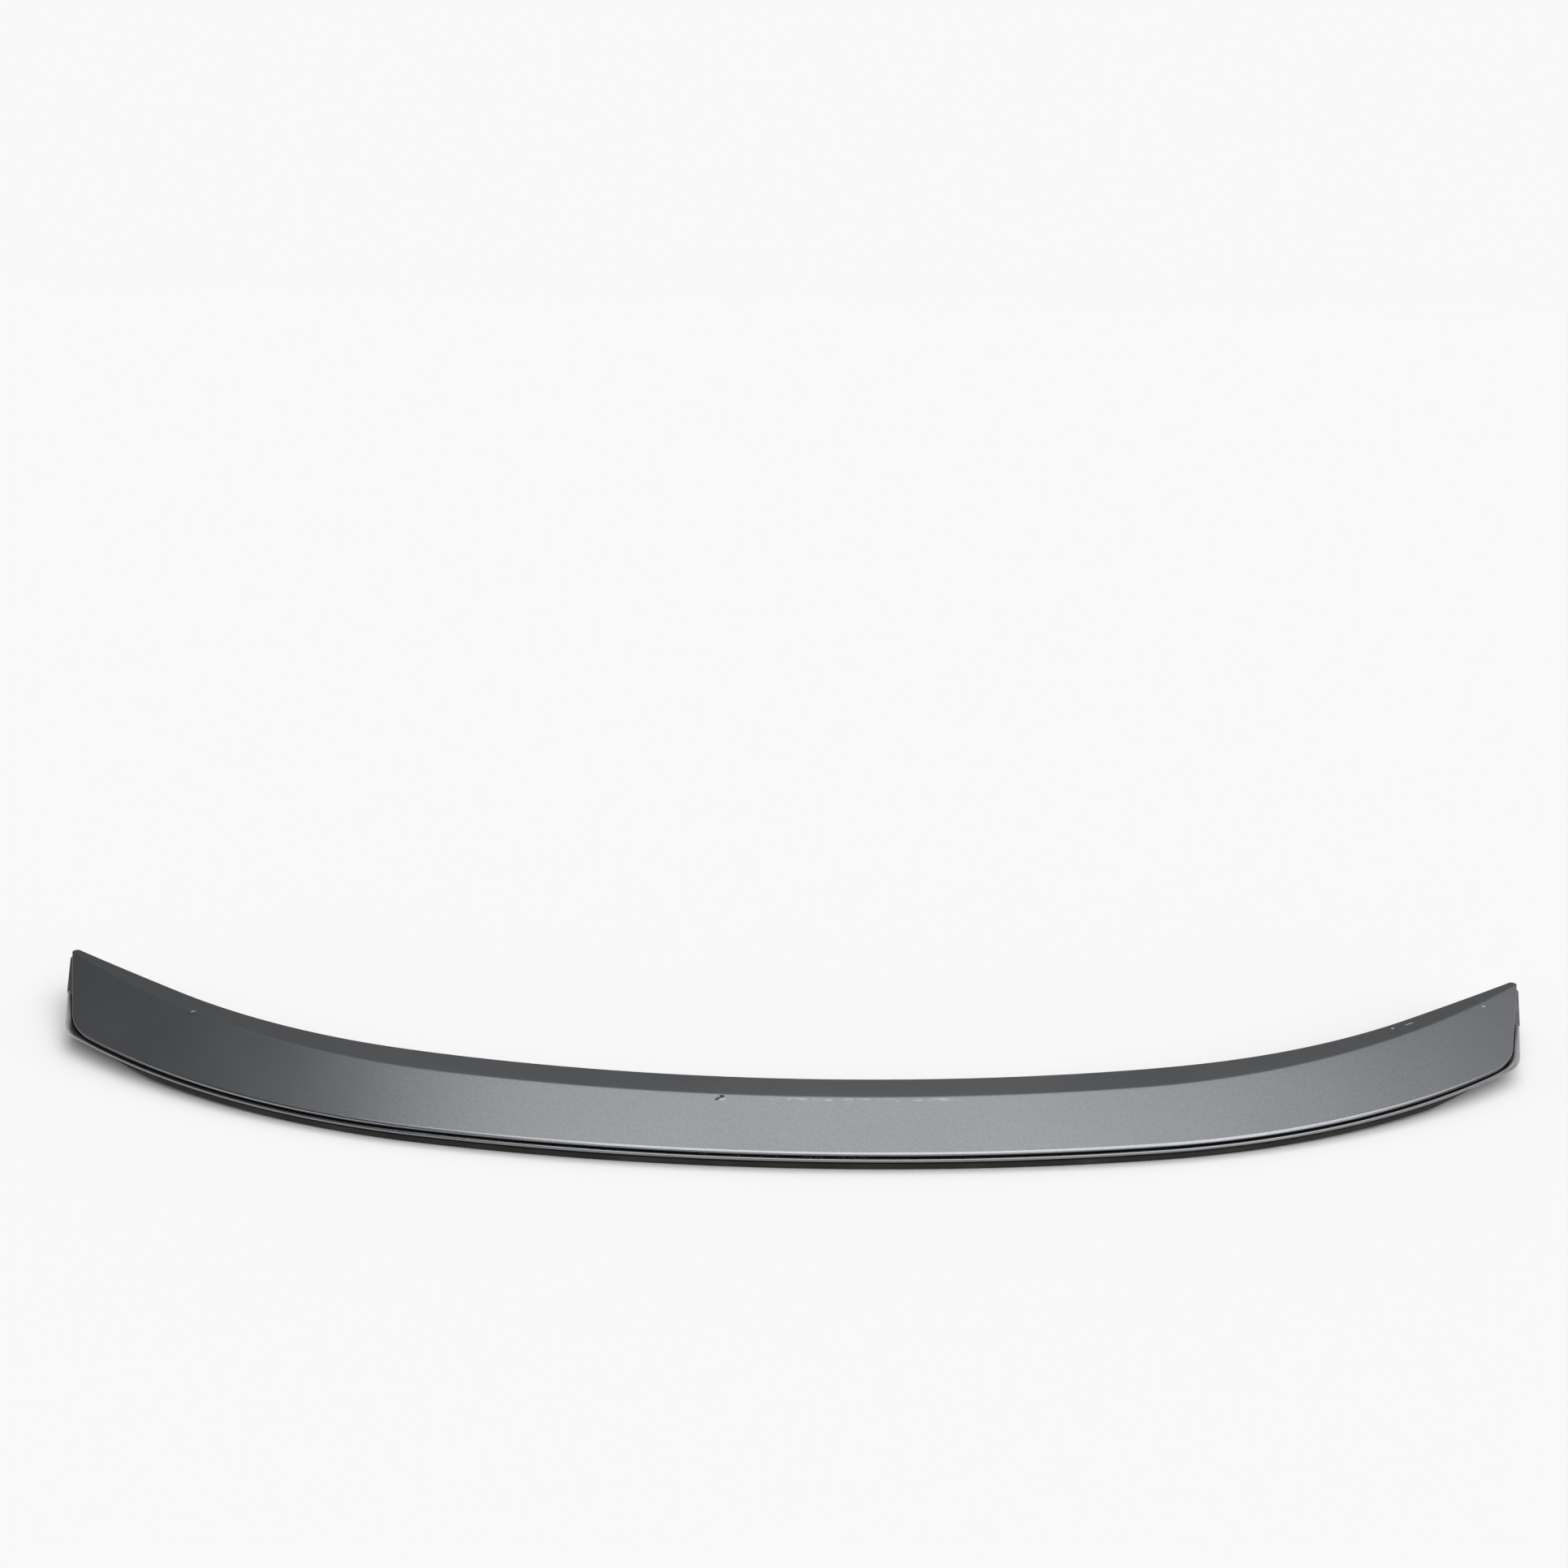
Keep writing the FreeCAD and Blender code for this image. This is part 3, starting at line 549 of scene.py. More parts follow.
@dataclass(frozen=True)
class PlatedSteel(Finish):
    """Zinc-plated steel with slightly uneven brightness and a few dull spots."""

    colour: tuple[float, float, float, float] = (0.62, 0.62, 0.6, 1.0)
    dull: tuple[float, float, float, float] = (0.36, 0.34, 0.3, 1.0)
    roughness: float = 0.28
    spots_per_metre: float = 420.0
    spot_cut: tuple[float, float] = (0.48, 0.7)
    spot_roughness: float = 0.25

    def surface(self, graph: Graph) -> bpy.types.Node:
        """Dull spots take colour and gloss away.

        Args:
            graph: the finish's graph.

        Returns:
            The shader.
        """
        spots = graph.noise(self.spots_per_metre, detail=5.0).ramp(*self.spot_cut)
        return graph.node("ShaderNodeBsdfPrincipled", None, {
            "Base Color": graph.blend(spots, self.colour, self.dull), "Metallic": 1.0,
            "Roughness": self.roughness + self.spot_roughness * spots})


@dataclass(frozen=True)
class Foam(Finish):
    """Closed-cell foam with fine pores."""

    colour: float = 0.035
    shades: tuple[float, float] = (0.5, 1.3)
    pores_per_metre: float = 1300.0
    # Colour ramp that darkens the pores: painted shade.
    pore_cut: tuple[float, float] = (0.1, 0.6)
    pore_depth: float = 0.12
    roughness: float = 0.84
    patches_per_metre: float = 60.0
    patch_roughness: float = 0.1

    def surface(self, graph: Graph) -> bpy.types.Node:
        """Pores are sunk, and darker as painted shade in them.

        Args:
            graph: the finish's graph.

        Returns:
            The shader.
        """
        pores = Signal(graph, graph.cells(self.pores_per_metre).outputs["Distance"])
        patches = graph.noise(self.patches_per_metre, detail=3.0)
        dark, bright = (grey(self.colour * end) for end in self.shades)
        return graph.node("ShaderNodeBsdfPrincipled", None, {
            "Base Color": graph.blend(pores.ramp(*self.pore_cut), dark, bright),
            "Roughness": self.roughness + self.patch_roughness * patches,
            "Normal": graph.bump(pores, self.pore_depth)})


@dataclass(frozen=True)
class PaleFloor(Finish):
    """Plain pale floor with a barely uneven gloss."""

    colour: float = 0.815
    roughness: float = 0.75
    patches_per_metre: float = 3.0
    patch_roughness: float = 0.1

    def surface(self, graph: Graph) -> bpy.types.Node:
        """One pale colour all over.

        Args:
            graph: the finish's graph.

        Returns:
            The shader.
        """
        roughness = self.roughness + self.patch_roughness * graph.noise(self.patches_per_metre)
        return graph.node("ShaderNodeBsdfPrincipled", None, {
            "Base Color": grey(self.colour), "Roughness": roughness, "Specular IOR Level": 0.0})


def crossing(before: Callable[[float], bool], stop: float) -> float:
    """The distance, from 0 to stop, up to which a test holds.

    Args:
        before: the test, true up to the distance and false from there.
        stop: the longest distance.

    Returns:
        The distance, found by halving.
    """
    low, high = 0.0, stop
    for _ in range(HALVINGS):
        middle = (low + high) / 2
        low, high = (middle, high) if before(middle) else (low, middle)
    return low


@dataclass(frozen=True)
class HollowCurve:
    """A shallow curve that rises to both sides: a middle arc and a tighter arc at each end."""

    radius: float
    join: float
    half: float
    rise: float

    def height(self, x: float) -> float:
        """How far the curve has risen.

        Args:
            x: place across, on either side.

        Returns:
            The rise at x.
        """
        across = abs(x)
        if across <= self.join:
            return self.radius - math.sqrt(self.radius ** 2 - across ** 2)
        turn = math.asin(self.join / self.radius)
        inward = Vector((-math.sin(turn), math.cos(turn)))
        meet = Vector((0.0, self.radius)) - inward * self.radius
        chord = Vector((self.half, self.rise)) - meet
        end_radius = chord.length_squared / (2 * chord.dot(inward))
        centre = meet + inward * end_radius
        return centre.y - math.sqrt(end_radius ** 2 - (across - centre.x) ** 2)


@dataclass(frozen=True)
class Arc:
    """A round stretch of a plan line, between two angles about its centre."""

    centre: Vector
    radius: float
    start: float
    stop: float

    @property
    def length(self) -> float:
        """Length along the arc."""
        return self.radius * abs(self.stop - self.start)

    def at(self, distance: float) -> tuple[Vector, Vector]:
        """A point of the arc.

        Args:
            distance: length along the arc from its start.

        Returns:
            The point and the direction away from the arc's centre.
        """
        angle = self.start + math.copysign(distance / self.radius, self.stop - self.start)
        spoke = Vector((math.cos(angle), math.sin(angle)))
        return self.centre + spoke * self.radius, spoke


@dataclass(frozen=True)
class Straight:
    """A straight stretch of a plan line."""

    start: Vector
    stop: Vector

    @property
    def length(self) -> float:
        """Length along the line."""
        return (self.stop - self.start).length

    def at(self, distance: float) -> tuple[Vector, Vector]:
        """The point at a distance along the line, and the direction to its right."""
        ahead = (self.stop - self.start).normalized()
        return self.start + ahead * distance, Vector((ahead.y, -ahead.x))


class PlanLine:
    """A line drawn in plan from the middle of the part to its right end, and mirrored to the left."""

    def __init__(self, *stretches: Arc | Straight) -> None:
        """Takes the stretches of the right half in order."""
        self.stretches = stretches
        self.length = sum(stretch.length for stretch in stretches)

    def at(self, distance: float) -> tuple[Vector, Vector]:
        """A point of the line.

        Args:
            distance: length along the line from its middle, negative to the left.

        Returns:
            The point and the direction square to the line there.
        """
        side = Vector((math.copysign(1.0, distance), 1.0))
        remains = abs(distance)
        for stretch in self.stretches[:-1]:
            if remains <= stretch.length:
                break
            remains -= stretch.length
        else:
            stretch = self.stretches[-1]
        point, square = stretch.at(remains)
        return point * side, square * side

    def distance_to(self, axis: int, value: float) -> float:
        """Length along the right half at which a coordinate reaches a value."""
        return crossing(lambda distance: self.at(distance)[0][axis] < value, self.length)


@dataclass(frozen=True)
class SpoilerForm:
    """The spoiler's shape: its plan and the two faces on top."""

    width: float = 1160.0
    depth: float = 251.0
    edge_height: float = 12.2
    nose_up: float = math.radians(8.5)
    crown_share: float = 9.353
    main_chord: float = 59.0
    band_fall: float = math.radians(2.3)
    band_share: float = 17.67
    band_rise: float = 22.5
    band_reach: float = 30.0
    join_share: float = 0.2155
    rear_mid_share: float = 0.2826
    rear_end_share: float = 0.1276
    lead_mid_share: float = 0.24764
    lead_join_share: float = 0.25
    lead_slope_share: float = 2.6638
    chord: float = 86.35
    corner: float = 70.0
    side_flare: float = math.radians(23.6)
    tip_face: float = 4.7
    tip_round: float = 3.0
    ledge: float = 1.8
    fastener_inset: float = 43.0

    @property
    def half(self) -> float:
        """Half the width."""
        return self.width / 2

    @property
    def tip_y(self) -> float:
        """Where the pointed ends reach."""
        return self.depth / 2

    @property
    def rear_y(self) -> float:
        """Where the skin's trailing edge is, in the middle."""
        return self.ledge - self.depth / 2

    @property
    def join(self) -> float:
        """Where the middle arcs meet the end arcs."""
        return self.width * self.join_share

    @property
    def sweep(self) -> float:
        """The length that the plan's radii follow."""
        return self.width ** 2 / self.depth

    def main(self, x: float, y: float) -> float:
        """Height of the main face.

        Args:
            x: place across.
            y: place fore and aft.

        Returns:
            The face's height there.
        """
        radius = self.width * self.crown_share
        crown = math.sqrt(radius ** 2 - x * x) - radius
        return self.edge_height + (y - self.rear_y) * math.tan(self.nose_up) + crown / math.cos(self.nose_up)

    def band(self, x: float, y: float) -> float:
        """Height of the band ahead of the crease.

        Args:
            x: place across.
            y: place fore and aft.

        Returns:
            The face's height there.
        """
        curve = HollowCurve(self.width * self.band_share, self.join, self.half + self.band_reach, self.band_rise)
        crease_y = self.rear_y + self.main_chord
        crease_z = self.edge_height + self.main_chord * math.tan(self.nose_up)
        return crease_z - (y - crease_y) * math.tan(self.band_fall) + curve.height(x) / math.cos(self.band_fall)

    def top(self, x: float, y: float, soft: float = 0.0) -> float:
        """Height of the skin's top.

        Args:
            x: place across.
            y: place fore and aft.
            soft: height over which the crease is softened, 0 for a sharp one.

        Returns:
            The lower of the two faces.
        """
        main, band = self.main(x, y), self.band(x, y)
        if not soft:
            return min(main, band)
        near = max(soft - abs(main - band), 0.0) / soft
        return min(main, band) - near * near * soft / 4

    @property
    def tip_centre(self) -> Vector:
        """Centre of the right tip's rounding."""
        return Vector((self.half - self.tip_round, self.tip_y - self.tip_round))

    @property
    def lead_lean(self) -> float:
        """Angle of the leading edge's straight ends."""
        return math.atan(self.lead_slope_share * self.depth / self.width)

    @property
    def tip_middle(self) -> float:
        """Angle about the tip's centre at which the rim and the leading edge meet."""
        return (math.pi / 2 + self.lead_lean) / 2

    def rim(self, rear: float = 0.0, side: float | None = None, corner: float | None = None,
            turn_in: float = 0.0) -> PlanLine:
        """The trailing edge, rear corner and end in plan, moved outwards.

        Args:
            rear: how far the trailing edge is moved out.
            side: how far the end is moved out at the tip, the same if left out.
            corner: radius of the corner, the skin's own moved out if left out.
            turn_in: angle by which the end flares less.

        Returns:
            The line, from the middle of the trailing edge to the tip.
        """
        side = rear if side is None else side
        corner = self.corner + rear if corner is None else corner
        middle_radius = self.sweep * self.rear_mid_share
        end_radius = self.sweep * self.rear_end_share
        turn = math.asin(self.join / middle_radius)
        lean = self.side_flare - turn_in
        middle = Vector((0.0, self.rear_y + middle_radius))
        end = middle + Vector((math.sin(turn), -math.cos(turn))) * (middle_radius - end_radius)
        along = Vector((math.sin(lean), math.cos(lean)))
        out = Vector((math.cos(lean), -math.sin(lean)))
        tip = Vector((self.half, self.tip_y - self.tip_face)) + out * side
        offset = tip - out * corner - end
        step = offset.dot(along)
        spread = step ** 2 - offset.length_squared + (end_radius + rear - corner) ** 2
        bend = end + offset - along * (step + math.sqrt(spread))
        bend_start = math.atan2((bend - end).y, (bend - end).x)
        join = turn - math.pi / 2
        return PlanLine(Arc(middle, middle_radius + rear, -math.pi / 2, join),
                        Arc(end, end_radius + rear, join, bend_start), Arc(bend, corner, bend_start, -lean),
                        Straight(bend + out * corner, tip))

    def skin_rim(self) -> PlanLine:
        """The skin's rim, with the end face and half of the tip's rounding.

        Returns:
            The line, from the middle of the trailing edge to the middle of the tip.
        """
        rim = self.rim()
        face_start = Vector((self.half, self.tip_y - self.tip_face))
        face_stop = self.tip_centre + Vector((self.tip_round, 0.0))
        return PlanLine(*rim.stretches, Straight(face_start, face_stop),
                        Arc(self.tip_centre, self.tip_round, 0.0, self.tip_middle))

    def lead(self) -> PlanLine:
        """The leading edge: a middle arc, an end arc, a straight run and half of the tip's rounding.

        Returns:
            The line, from the middle of the leading edge to the middle of the tip.
        """
        radius = self.sweep * self.lead_mid_share
        turn = math.asin(self.width * self.lead_join_share / radius)
        lean = self.lead_lean
        along = Vector((math.cos(turn), math.sin(turn)))
        inward = Vector((-math.sin(turn), math.cos(turn)))
        run = Vector((math.cos(lean), math.sin(lean)))
        run_square = Vector((-math.sin(lean), math.cos(lean)))
        centre = Vector((0.0, self.rear_y + self.chord + radius))
        meet = centre - inward * radius
        run_stop = self.tip_centre + run_square * self.tip_round
        tangent = (run_stop - meet).dot(run_square) / along.dot(run_square)
        end_radius = tangent / math.tan((lean - turn) / 2)
        quarter = math.pi / 2
        return PlanLine(Arc(centre, radius, -quarter, turn - quarter),
                        Arc(meet + inward * end_radius, end_radius, turn - quarter, lean - quarter),
                        Straight(meet + (along + run) * tangent, run_stop),
                        Arc(self.tip_centre, self.tip_round, quarter + lean, self.tip_middle))

    def station(self, x: float) -> Vector:
        """Where a fastener stands in plan.

        Args:
            x: its place across.

        Returns:
            The point at x, set in from the trailing edge.
        """
        rim = self.rim()
        point, _ = rim.at(math.copysign(rim.distance_to(0, abs(x)), x))
        return point + Vector((0.0, self.fastener_inset))


def fillet(radius: float, steps: int) -> list[tuple[float, float]]:
    """Points of a quarter round.

    Args:
        radius: its radius.
        steps: how many chords it has.

    Returns:
        Pairs of inset and drop, from the wall to the top.
    """
    angles = [math.pi / 2 * step / steps for step in range(steps + 1)]
    return [(radius * (1 - math.cos(angle)), radius * (1 - math.sin(angle))) for angle in angles]


def loft(name: str, columns: int, section: Callable[[float], list[Vector]],
         painted_shade: range = range(0)) -> bpy.types.Object:
    """A closed solid through a row of closed sections.

    Args:
        name: the object's name.
        columns: how many sections there are.
        section: the points of the section at a share from -1 to 1 along the piece.
        painted_shade: which points of each section get painted shade, a near black colour.

    Returns:
        The object.
    """
    rows = len(section(0.0))
    mesh = bmesh.new()
    painted_shade_layer = mesh.verts.layers.float.new(PAINTED_SHADE)
    bmesh.ops.create_grid(mesh, x_segments=columns, y_segments=rows, size=1.0)
    cells = {vert: (round(vert.co.x, GRID_DIGITS), round(vert.co.y, GRID_DIGITS)) for vert in mesh.verts}
    places = {share: section(share) for share in {share for share, _ in cells.values()}}
    order = {value: index for index, value in enumerate(sorted({around for _, around in cells.values()}))}
    for vert, (share, around) in cells.items():
        row = order[around] % rows
        vert.co = places[share][row] * MM
        # Points in the given rows are marked for painted shade.
        vert[painted_shade_layer] = float(row in painted_shade)
    bmesh.ops.remove_doubles(mesh, verts=mesh.verts, dist=SAME_POINT_M)
    bmesh.ops.dissolve_degenerate(mesh, edges=mesh.edges, dist=SAME_POINT_M)
    caps = bmesh.ops.holes_fill(mesh, edges=[edge for edge in mesh.edges if edge.is_boundary], sides=0)["faces"]
    bmesh.ops.triangulate(mesh, faces=caps)
    bmesh.ops.recalc_face_normals(mesh, faces=mesh.faces)
    return finished(name, mesh)


def finished(name: str, mesh: bmesh.types.BMesh, sharp_angle: float = math.radians(35)) -> bpy.types.Object:
    """An object from a mesh, shaded smooth except at sharp edges.

    Args:
        name: the object's name.
        mesh: the mesh, which is freed.
        sharp_angle: edges that turn by more stay sharp.

    Returns:
        The object, linked to the scene.
    """
    data = bpy.data.meshes.new(name)
    mesh.to_mesh(data)
    mesh.free()
    data.shade_smooth()
    data.set_sharp_from_angle(angle=sharp_angle)
    piece = bpy.data.objects.new(name, data)
    bpy.context.scene.collection.objects.link(piece)
    return piece


def merged_copy(node: str, name: str, flat_angle: float = math.radians(0.2),
                sharp_angle: float = math.radians(20)) -> bpy.types.Object:
    """A copy of a solid's own mesh with its triangles joined.

    Args:
        node: the solid's name.
        name: the new object's name.
        flat_angle: triangles that turn by less are joined.
        sharp_angle: edges that turn by more stay sharp.

    Returns:
        The object.
    """
    mesh = bmesh.new()
    mesh.from_mesh(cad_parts[node].data)
    bmesh.ops.remove_doubles(mesh, verts=mesh.verts, dist=SOLID_POINT_M)
    bmesh.ops.dissolve_limit(mesh, angle_limit=flat_angle, verts=mesh.verts, edges=mesh.edges)
    piece = finished(name, mesh, sharp_angle)
    weighting = piece.modifiers.new("even_shading", "WEIGHTED_NORMAL")
    weighting.keep_sharp = True
    return piece


def dress(piece: bpy.types.Object, node: str, slot: Slot, finish: Finish) -> None:
    """Gives a piece its finish and puts it in the place of its solid.

    Args:
        piece: the detailed piece.
        node: the solid that it stands for.
        slot: the record's material slot; not used.
        finish: its finish.
    """
    piece.data.materials.clear()
    piece.data.materials.append(finish.material())
    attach(piece, "root")
    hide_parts(node)
    LOG.info("%s: %d faces", piece.name, len(piece.data.polygons))


@dataclass
class PaintedSkin:
    """The painted upper skin with its rounded rim and its crease."""

    form: SpoilerForm
    wall: float = 2.0
    edge_round: float = 1.5
    crease_soft: float = 0.22
    crease_reach: float = 1.3
    crease_most: float = 0.1
    crease_margins: tuple[float, float] = (1.5, 2.5)
    round_ends: tuple[float, float] = (400.0, 520.0)
    end_round: float = 0.2
    round_steps: int = 8
    round_most: float = 0.35
    least_slant: float = 0.25
    # The foot of the rim, the first points of each section, gets painted shade: a near black line under the rounded
    # edge.
    painted_shade_points: int = 2
    holding: float = 0.2
    tip_gap: float = 0.02
    columns: int = 360
    main_rows: int = 12
    band_rows: int = 8

    def section(self, share: float) -> list[Vector]:
        """The skin's outline on a line from the rim to the leading edge.

        Args:
            share: place along the skin, from -1 at the left tip to 1 at the right; sections crowd at the tips.

        Returns:
            The points, from the bottom of the rim round over the top and back underneath.
        """
        form = self.form
        rim, lead_edge = form.skin_rim(), form.lead()
        spread = math.copysign(1.0 - max(1.0 - abs(share), self.tip_gap) ** 2, share)
        start, out = rim.at(spread * rim.length)
        stop, _ = lead_edge.at(spread * lead_edge.length)
        run = stop - start
        length = run.length
        ahead = run / length
        slant = max(-out.dot(ahead), self.least_slant)

        def point(reach: float, drop: float, soft: float = 0.0) -> Vector:
            """A point at a reach along the line, dropped from the skin's top."""
            plan = start + ahead * reach
            return Vector((plan.x, plan.y, form.top(plan.x, plan.y, soft) - drop))

        begin, end = self.round_ends
        sharper = min(max((abs(start.x) - begin) / (end - begin), 0.0), 1.0)
        steps = fillet(self.edge_round + (self.end_round - self.edge_round) * sharper, self.round_steps)
        inset = [min(across / slant, length * self.round_most) for across, _ in steps]
        reach = min(self.crease_reach, length * self.crease_most)
        margin, end_margin = (reach * times for times in self.crease_margins)
        crease = self.crease_distance(start, ahead, length)
        crease = min(max(crease, inset[-1] + margin), length - end_margin)
        main_start, main_end, band_start = inset[-1] + min(self.holding, reach), crease - reach, crease + reach
        top = [main_start + (main_end - main_start) * row / self.main_rows for row in range(self.main_rows + 1)]
        top += [crease - reach / 2, crease, crease + reach / 2]
        top += [band_start + (length - band_start) * row / self.band_rows for row in range(self.band_rows + 1)]
        under = [length, (crease + length) / 2, crease, crease / 2]
        return [point(0.0, self.wall), *(point(across, drop) for across, (_, drop) in zip(inset, steps)),
                *(point(across, 0.0, self.crease_soft) for across in top),
                *(point(across, self.wall) for across in under)]

    def crease_distance(self, start: Vector, ahead: Vector, length: float) -> float:
        """How far along a line from the rim the two upper faces cross.

        Args:
            start: where the line starts on the rim.
            ahead: its direction.
            length: its length.

        Returns:
            The distance.
        """
        def on_main(distance: float) -> bool:
            """Whether the main face is the lower one at a distance along the line."""
            plan = start + ahead * distance
            return self.form.main(plan.x, plan.y) < self.form.band(plan.x, plan.y)

        return crossing(on_main, length)

    def build(self) -> bpy.types.Object:
        """The skin as one closed shell, with painted shade on the foot of its rim."""
        return loft("painted_skin", self.columns, self.section, range(self.painted_shade_points))

    def dress(self) -> None:
        """Paint with the marks that wear left."""
        dress(self.build(), "upper_skin", Slot.PAINT, WornPaint("paint_on_skin"))


@dataclass
class EdgeStrip:
    """The painted strip round the trailing edge and the corners, from notch to notch."""

    form: SpoilerForm
    side_ledge: float = 1.5
    corner: float = 52.0
    turn_in: float = math.radians(2.8)
    inner_inset: float = 3.5
    top_drop: float = 3.4
    bottom_drop: float = 5.2
    edge_round: float = 0.8
    edge_steps: int = 7
    foot_round: float = 0.4
    foot_steps: int = 3
    least_face: float = 0.4
    lip_slope: float = 0.9
    lip_drop: float = 0.4
    lip_tilt: float = 0.34
    lip_depth: float = 2.6
    lip_start: float = 0.15
    full_ledge: float = 4.0
    groove: float = 1.5
    groove_edge: float = 0.05
    groove_wall: float = 0.1
    groove_floor: float = 0.3
    # The groove's points get painted shade, near black, in the gap under the skin's edge.
    groove_points: int = 4
    notch_from_tip: float = 58.6
    # Darker than the skin's paint, though both are the same paint: painted shade on the strip.
    paint: float = 0.2
    columns: int = 340

    def section(self, share: float) -> list[Vector]:
        """The strip's outline, with a groove and a sloping, deeper lip where it stands out from the skin.

        Args:
            share: place along the strip, from -1 at the left notch to 1 at the right.

        Returns:
            The points, from the inner bottom round the outside to the inner top.
        """
        form = self.form
        notch_y = form.tip_y - self.notch_from_tip
        outer = form.rim(form.ledge, self.side_ledge, self.corner, self.turn_in)
        outside, out = outer.at(share * outer.distance_to(1, notch_y))
        skin, inner = form.rim(), form.rim(-self.inner_inset)
        beside, _ = skin.at(share * skin.distance_to(1, notch_y))
        inside, _ = inner.at(share * inner.distance_to(1, notch_y))
        ledge = (outside - beside).dot(out)
        extra = max(ledge - form.ledge, 0.0)
        groove = min(self.groove, extra / 2)
        lip = ledge - groove
        spare = max(lip - form.ledge, 0.0)
        standing = min(extra / self.full_ledge, 1.0)
        bottom = self.bottom_drop + self.lip_depth * standing
        tilt = self.lip_tilt * standing
        reach = self.edge_round + self.lip_slope * spare
        fall = min(self.edge_round + self.lip_drop * spare, bottom - self.top_drop - tilt * lip - self.least_face)

        def point(inset: float, drop: float) -> Vector:
            """A point set in from the outside and dropped from the main face."""
            plan = outside - out * inset
            return Vector((plan.x, plan.y, form.main(plan.x, plan.y) - drop))

        def under_skin(drop: float) -> Vector:
            """A point on the strip's inner side, dropped from the main face."""
            return Vector((inside.x, inside.y, form.main(inside.x, inside.y) - drop))

        foot = fillet(self.foot_round, self.foot_steps)
        lower = [point(across, bottom - drop) for across, drop in reversed(foot)]
        upper = [point(across * reach, self.top_drop + drop * fall + tilt * (lip - across * reach))
                 for across, drop in fillet(1.0, self.edge_steps)]
        edge = self.groove_edge * groove
        floor = self.top_drop + min(groove, self.bottom_drop - self.top_drop - self.groove_floor)
        return [under_skin(self.bottom_drop), point(ledge - self.lip_start, self.bottom_drop),
                point(ledge - self.lip_start, bottom), *lower, *upper, point(lip - edge, self.top_drop),
                point(lip, self.top_drop + edge), point(lip + self.groove_wall * groove, floor),
                point(ledge, floor), under_skin(floor)]

    def build(self) -> bpy.types.Object:
        """The strip as one closed bar, with painted shade inside its groove."""
        rows = len(self.section(0.0))
        return loft("painted_strip", self.columns, self.section, range(rows - self.groove_points, rows))

    def dress(self) -> None:
        """Paint darker than the skin's as painted shade, with near black painted shade in the groove."""
        dress(self.build(), "edge_strip", Slot.PAINT, MetallicPaint("paint_on_strip", colour=self.paint))


@dataclass
class RearSeal:
    """The rubber seal under the trailing edge, with a lip outside the skirt and a foot under it."""

    form: SpoilerForm
    end_share: float = 0.54
    profile: tuple[tuple[float, float], ...] = (
        (3.5, 5.2), (3.0, 5.2), (2.9, 6.2), (1.9, 6.8), (0.95, 7.5), (0.5, 8.5), (0.4, 9.6), (0.4, 10.9),
        (0.5, 11.6), (0.75, 12.0), (1.2, 12.2), (3.2, 12.2), (5.5, 12.1), (5.9, 11.7), (5.9, 10.2), (3.5, 10.2))
    skirt_inset: float = 3.5
    top_drop: float = 5.2
    taper: float = 80.0
    foot_taper: float = 30.0
    end_size: float = 0.25
    # The recess under the strip gets painted shade, near black.
    recess_points: int = 5
    columns: int = 240

    def section(self, share: float) -> list[Vector]:
        """The seal's profile, set square to the rim, at a share from -1 to 1 along it.

        Args:
            share: place along the seal; towards its ends the foot runs out first and then the lip tapers.

        Returns:
            The points of the profile.
        """
        rim = self.form.rim()
        half = rim.distance_to(1, self.form.rear_y + self.form.depth * self.end_share)
        start, out = rim.at(share * half)
        to_end = half * (1.0 - abs(share))
        size = self.end_size + (1.0 - self.end_size) * min(to_end / self.taper, 1.0)
        foot = min(max((to_end - self.taper) / self.foot_taper, 0.0), 1.0)
        points = []
        for inset, drop in self.profile:
            across = (inset - self.skirt_inset) * (foot if inset > self.skirt_inset else size)
            plan = start - out * (self.skirt_inset + across)
            height = self.form.main(plan.x, plan.y) - self.top_drop - (drop - self.top_drop) * size
            points.append(Vector((plan.x, plan.y, height)))
        return points

    def build(self) -> bpy.types.Object:
        """The seal as one closed bar, with painted shade in the recess under the strip."""
        return loft("seal_bar", self.columns, self.section, range(self.recess_points))

    def dress(self) -> None:
        """Dull rubber."""
        dress(self.build(), "rear_seal", Slot.SEAL_RUBBER, SealRubber("seal_rubber_bloom"))


def turned(mesh: bmesh.types.BMesh, profile: list[tuple[float, float]], place: Vector, steps: int = 36) -> None:
    """Adds a turned solid to a mesh.

    Args:
        mesh: the mesh to add to.
        profile: pairs of radius and height in order.
        place: where the axis stands in plan.
        steps: how many flats the round has.
    """
    verts = [mesh.verts.new((radius * MM, 0.0, height * MM)) for radius, height in profile]
    edges = [mesh.edges.new(pair) for pair in zip(verts, verts[1:])]
    bmesh.ops.spin(mesh, geom=verts + edges, cent=(0, 0, 0), axis=UP, angle=math.tau, steps=steps, use_merge=True)
    made = [vert for vert in mesh.verts if not vert.tag]
    bmesh.ops.remove_doubles(mesh, verts=made, dist=SAME_POINT_M)
    made = [vert for vert in mesh.verts if not vert.tag]
    bmesh.ops.translate(mesh, verts=made, vec=place.to_3d() * MM)
    for vert in made:
        vert.tag = True


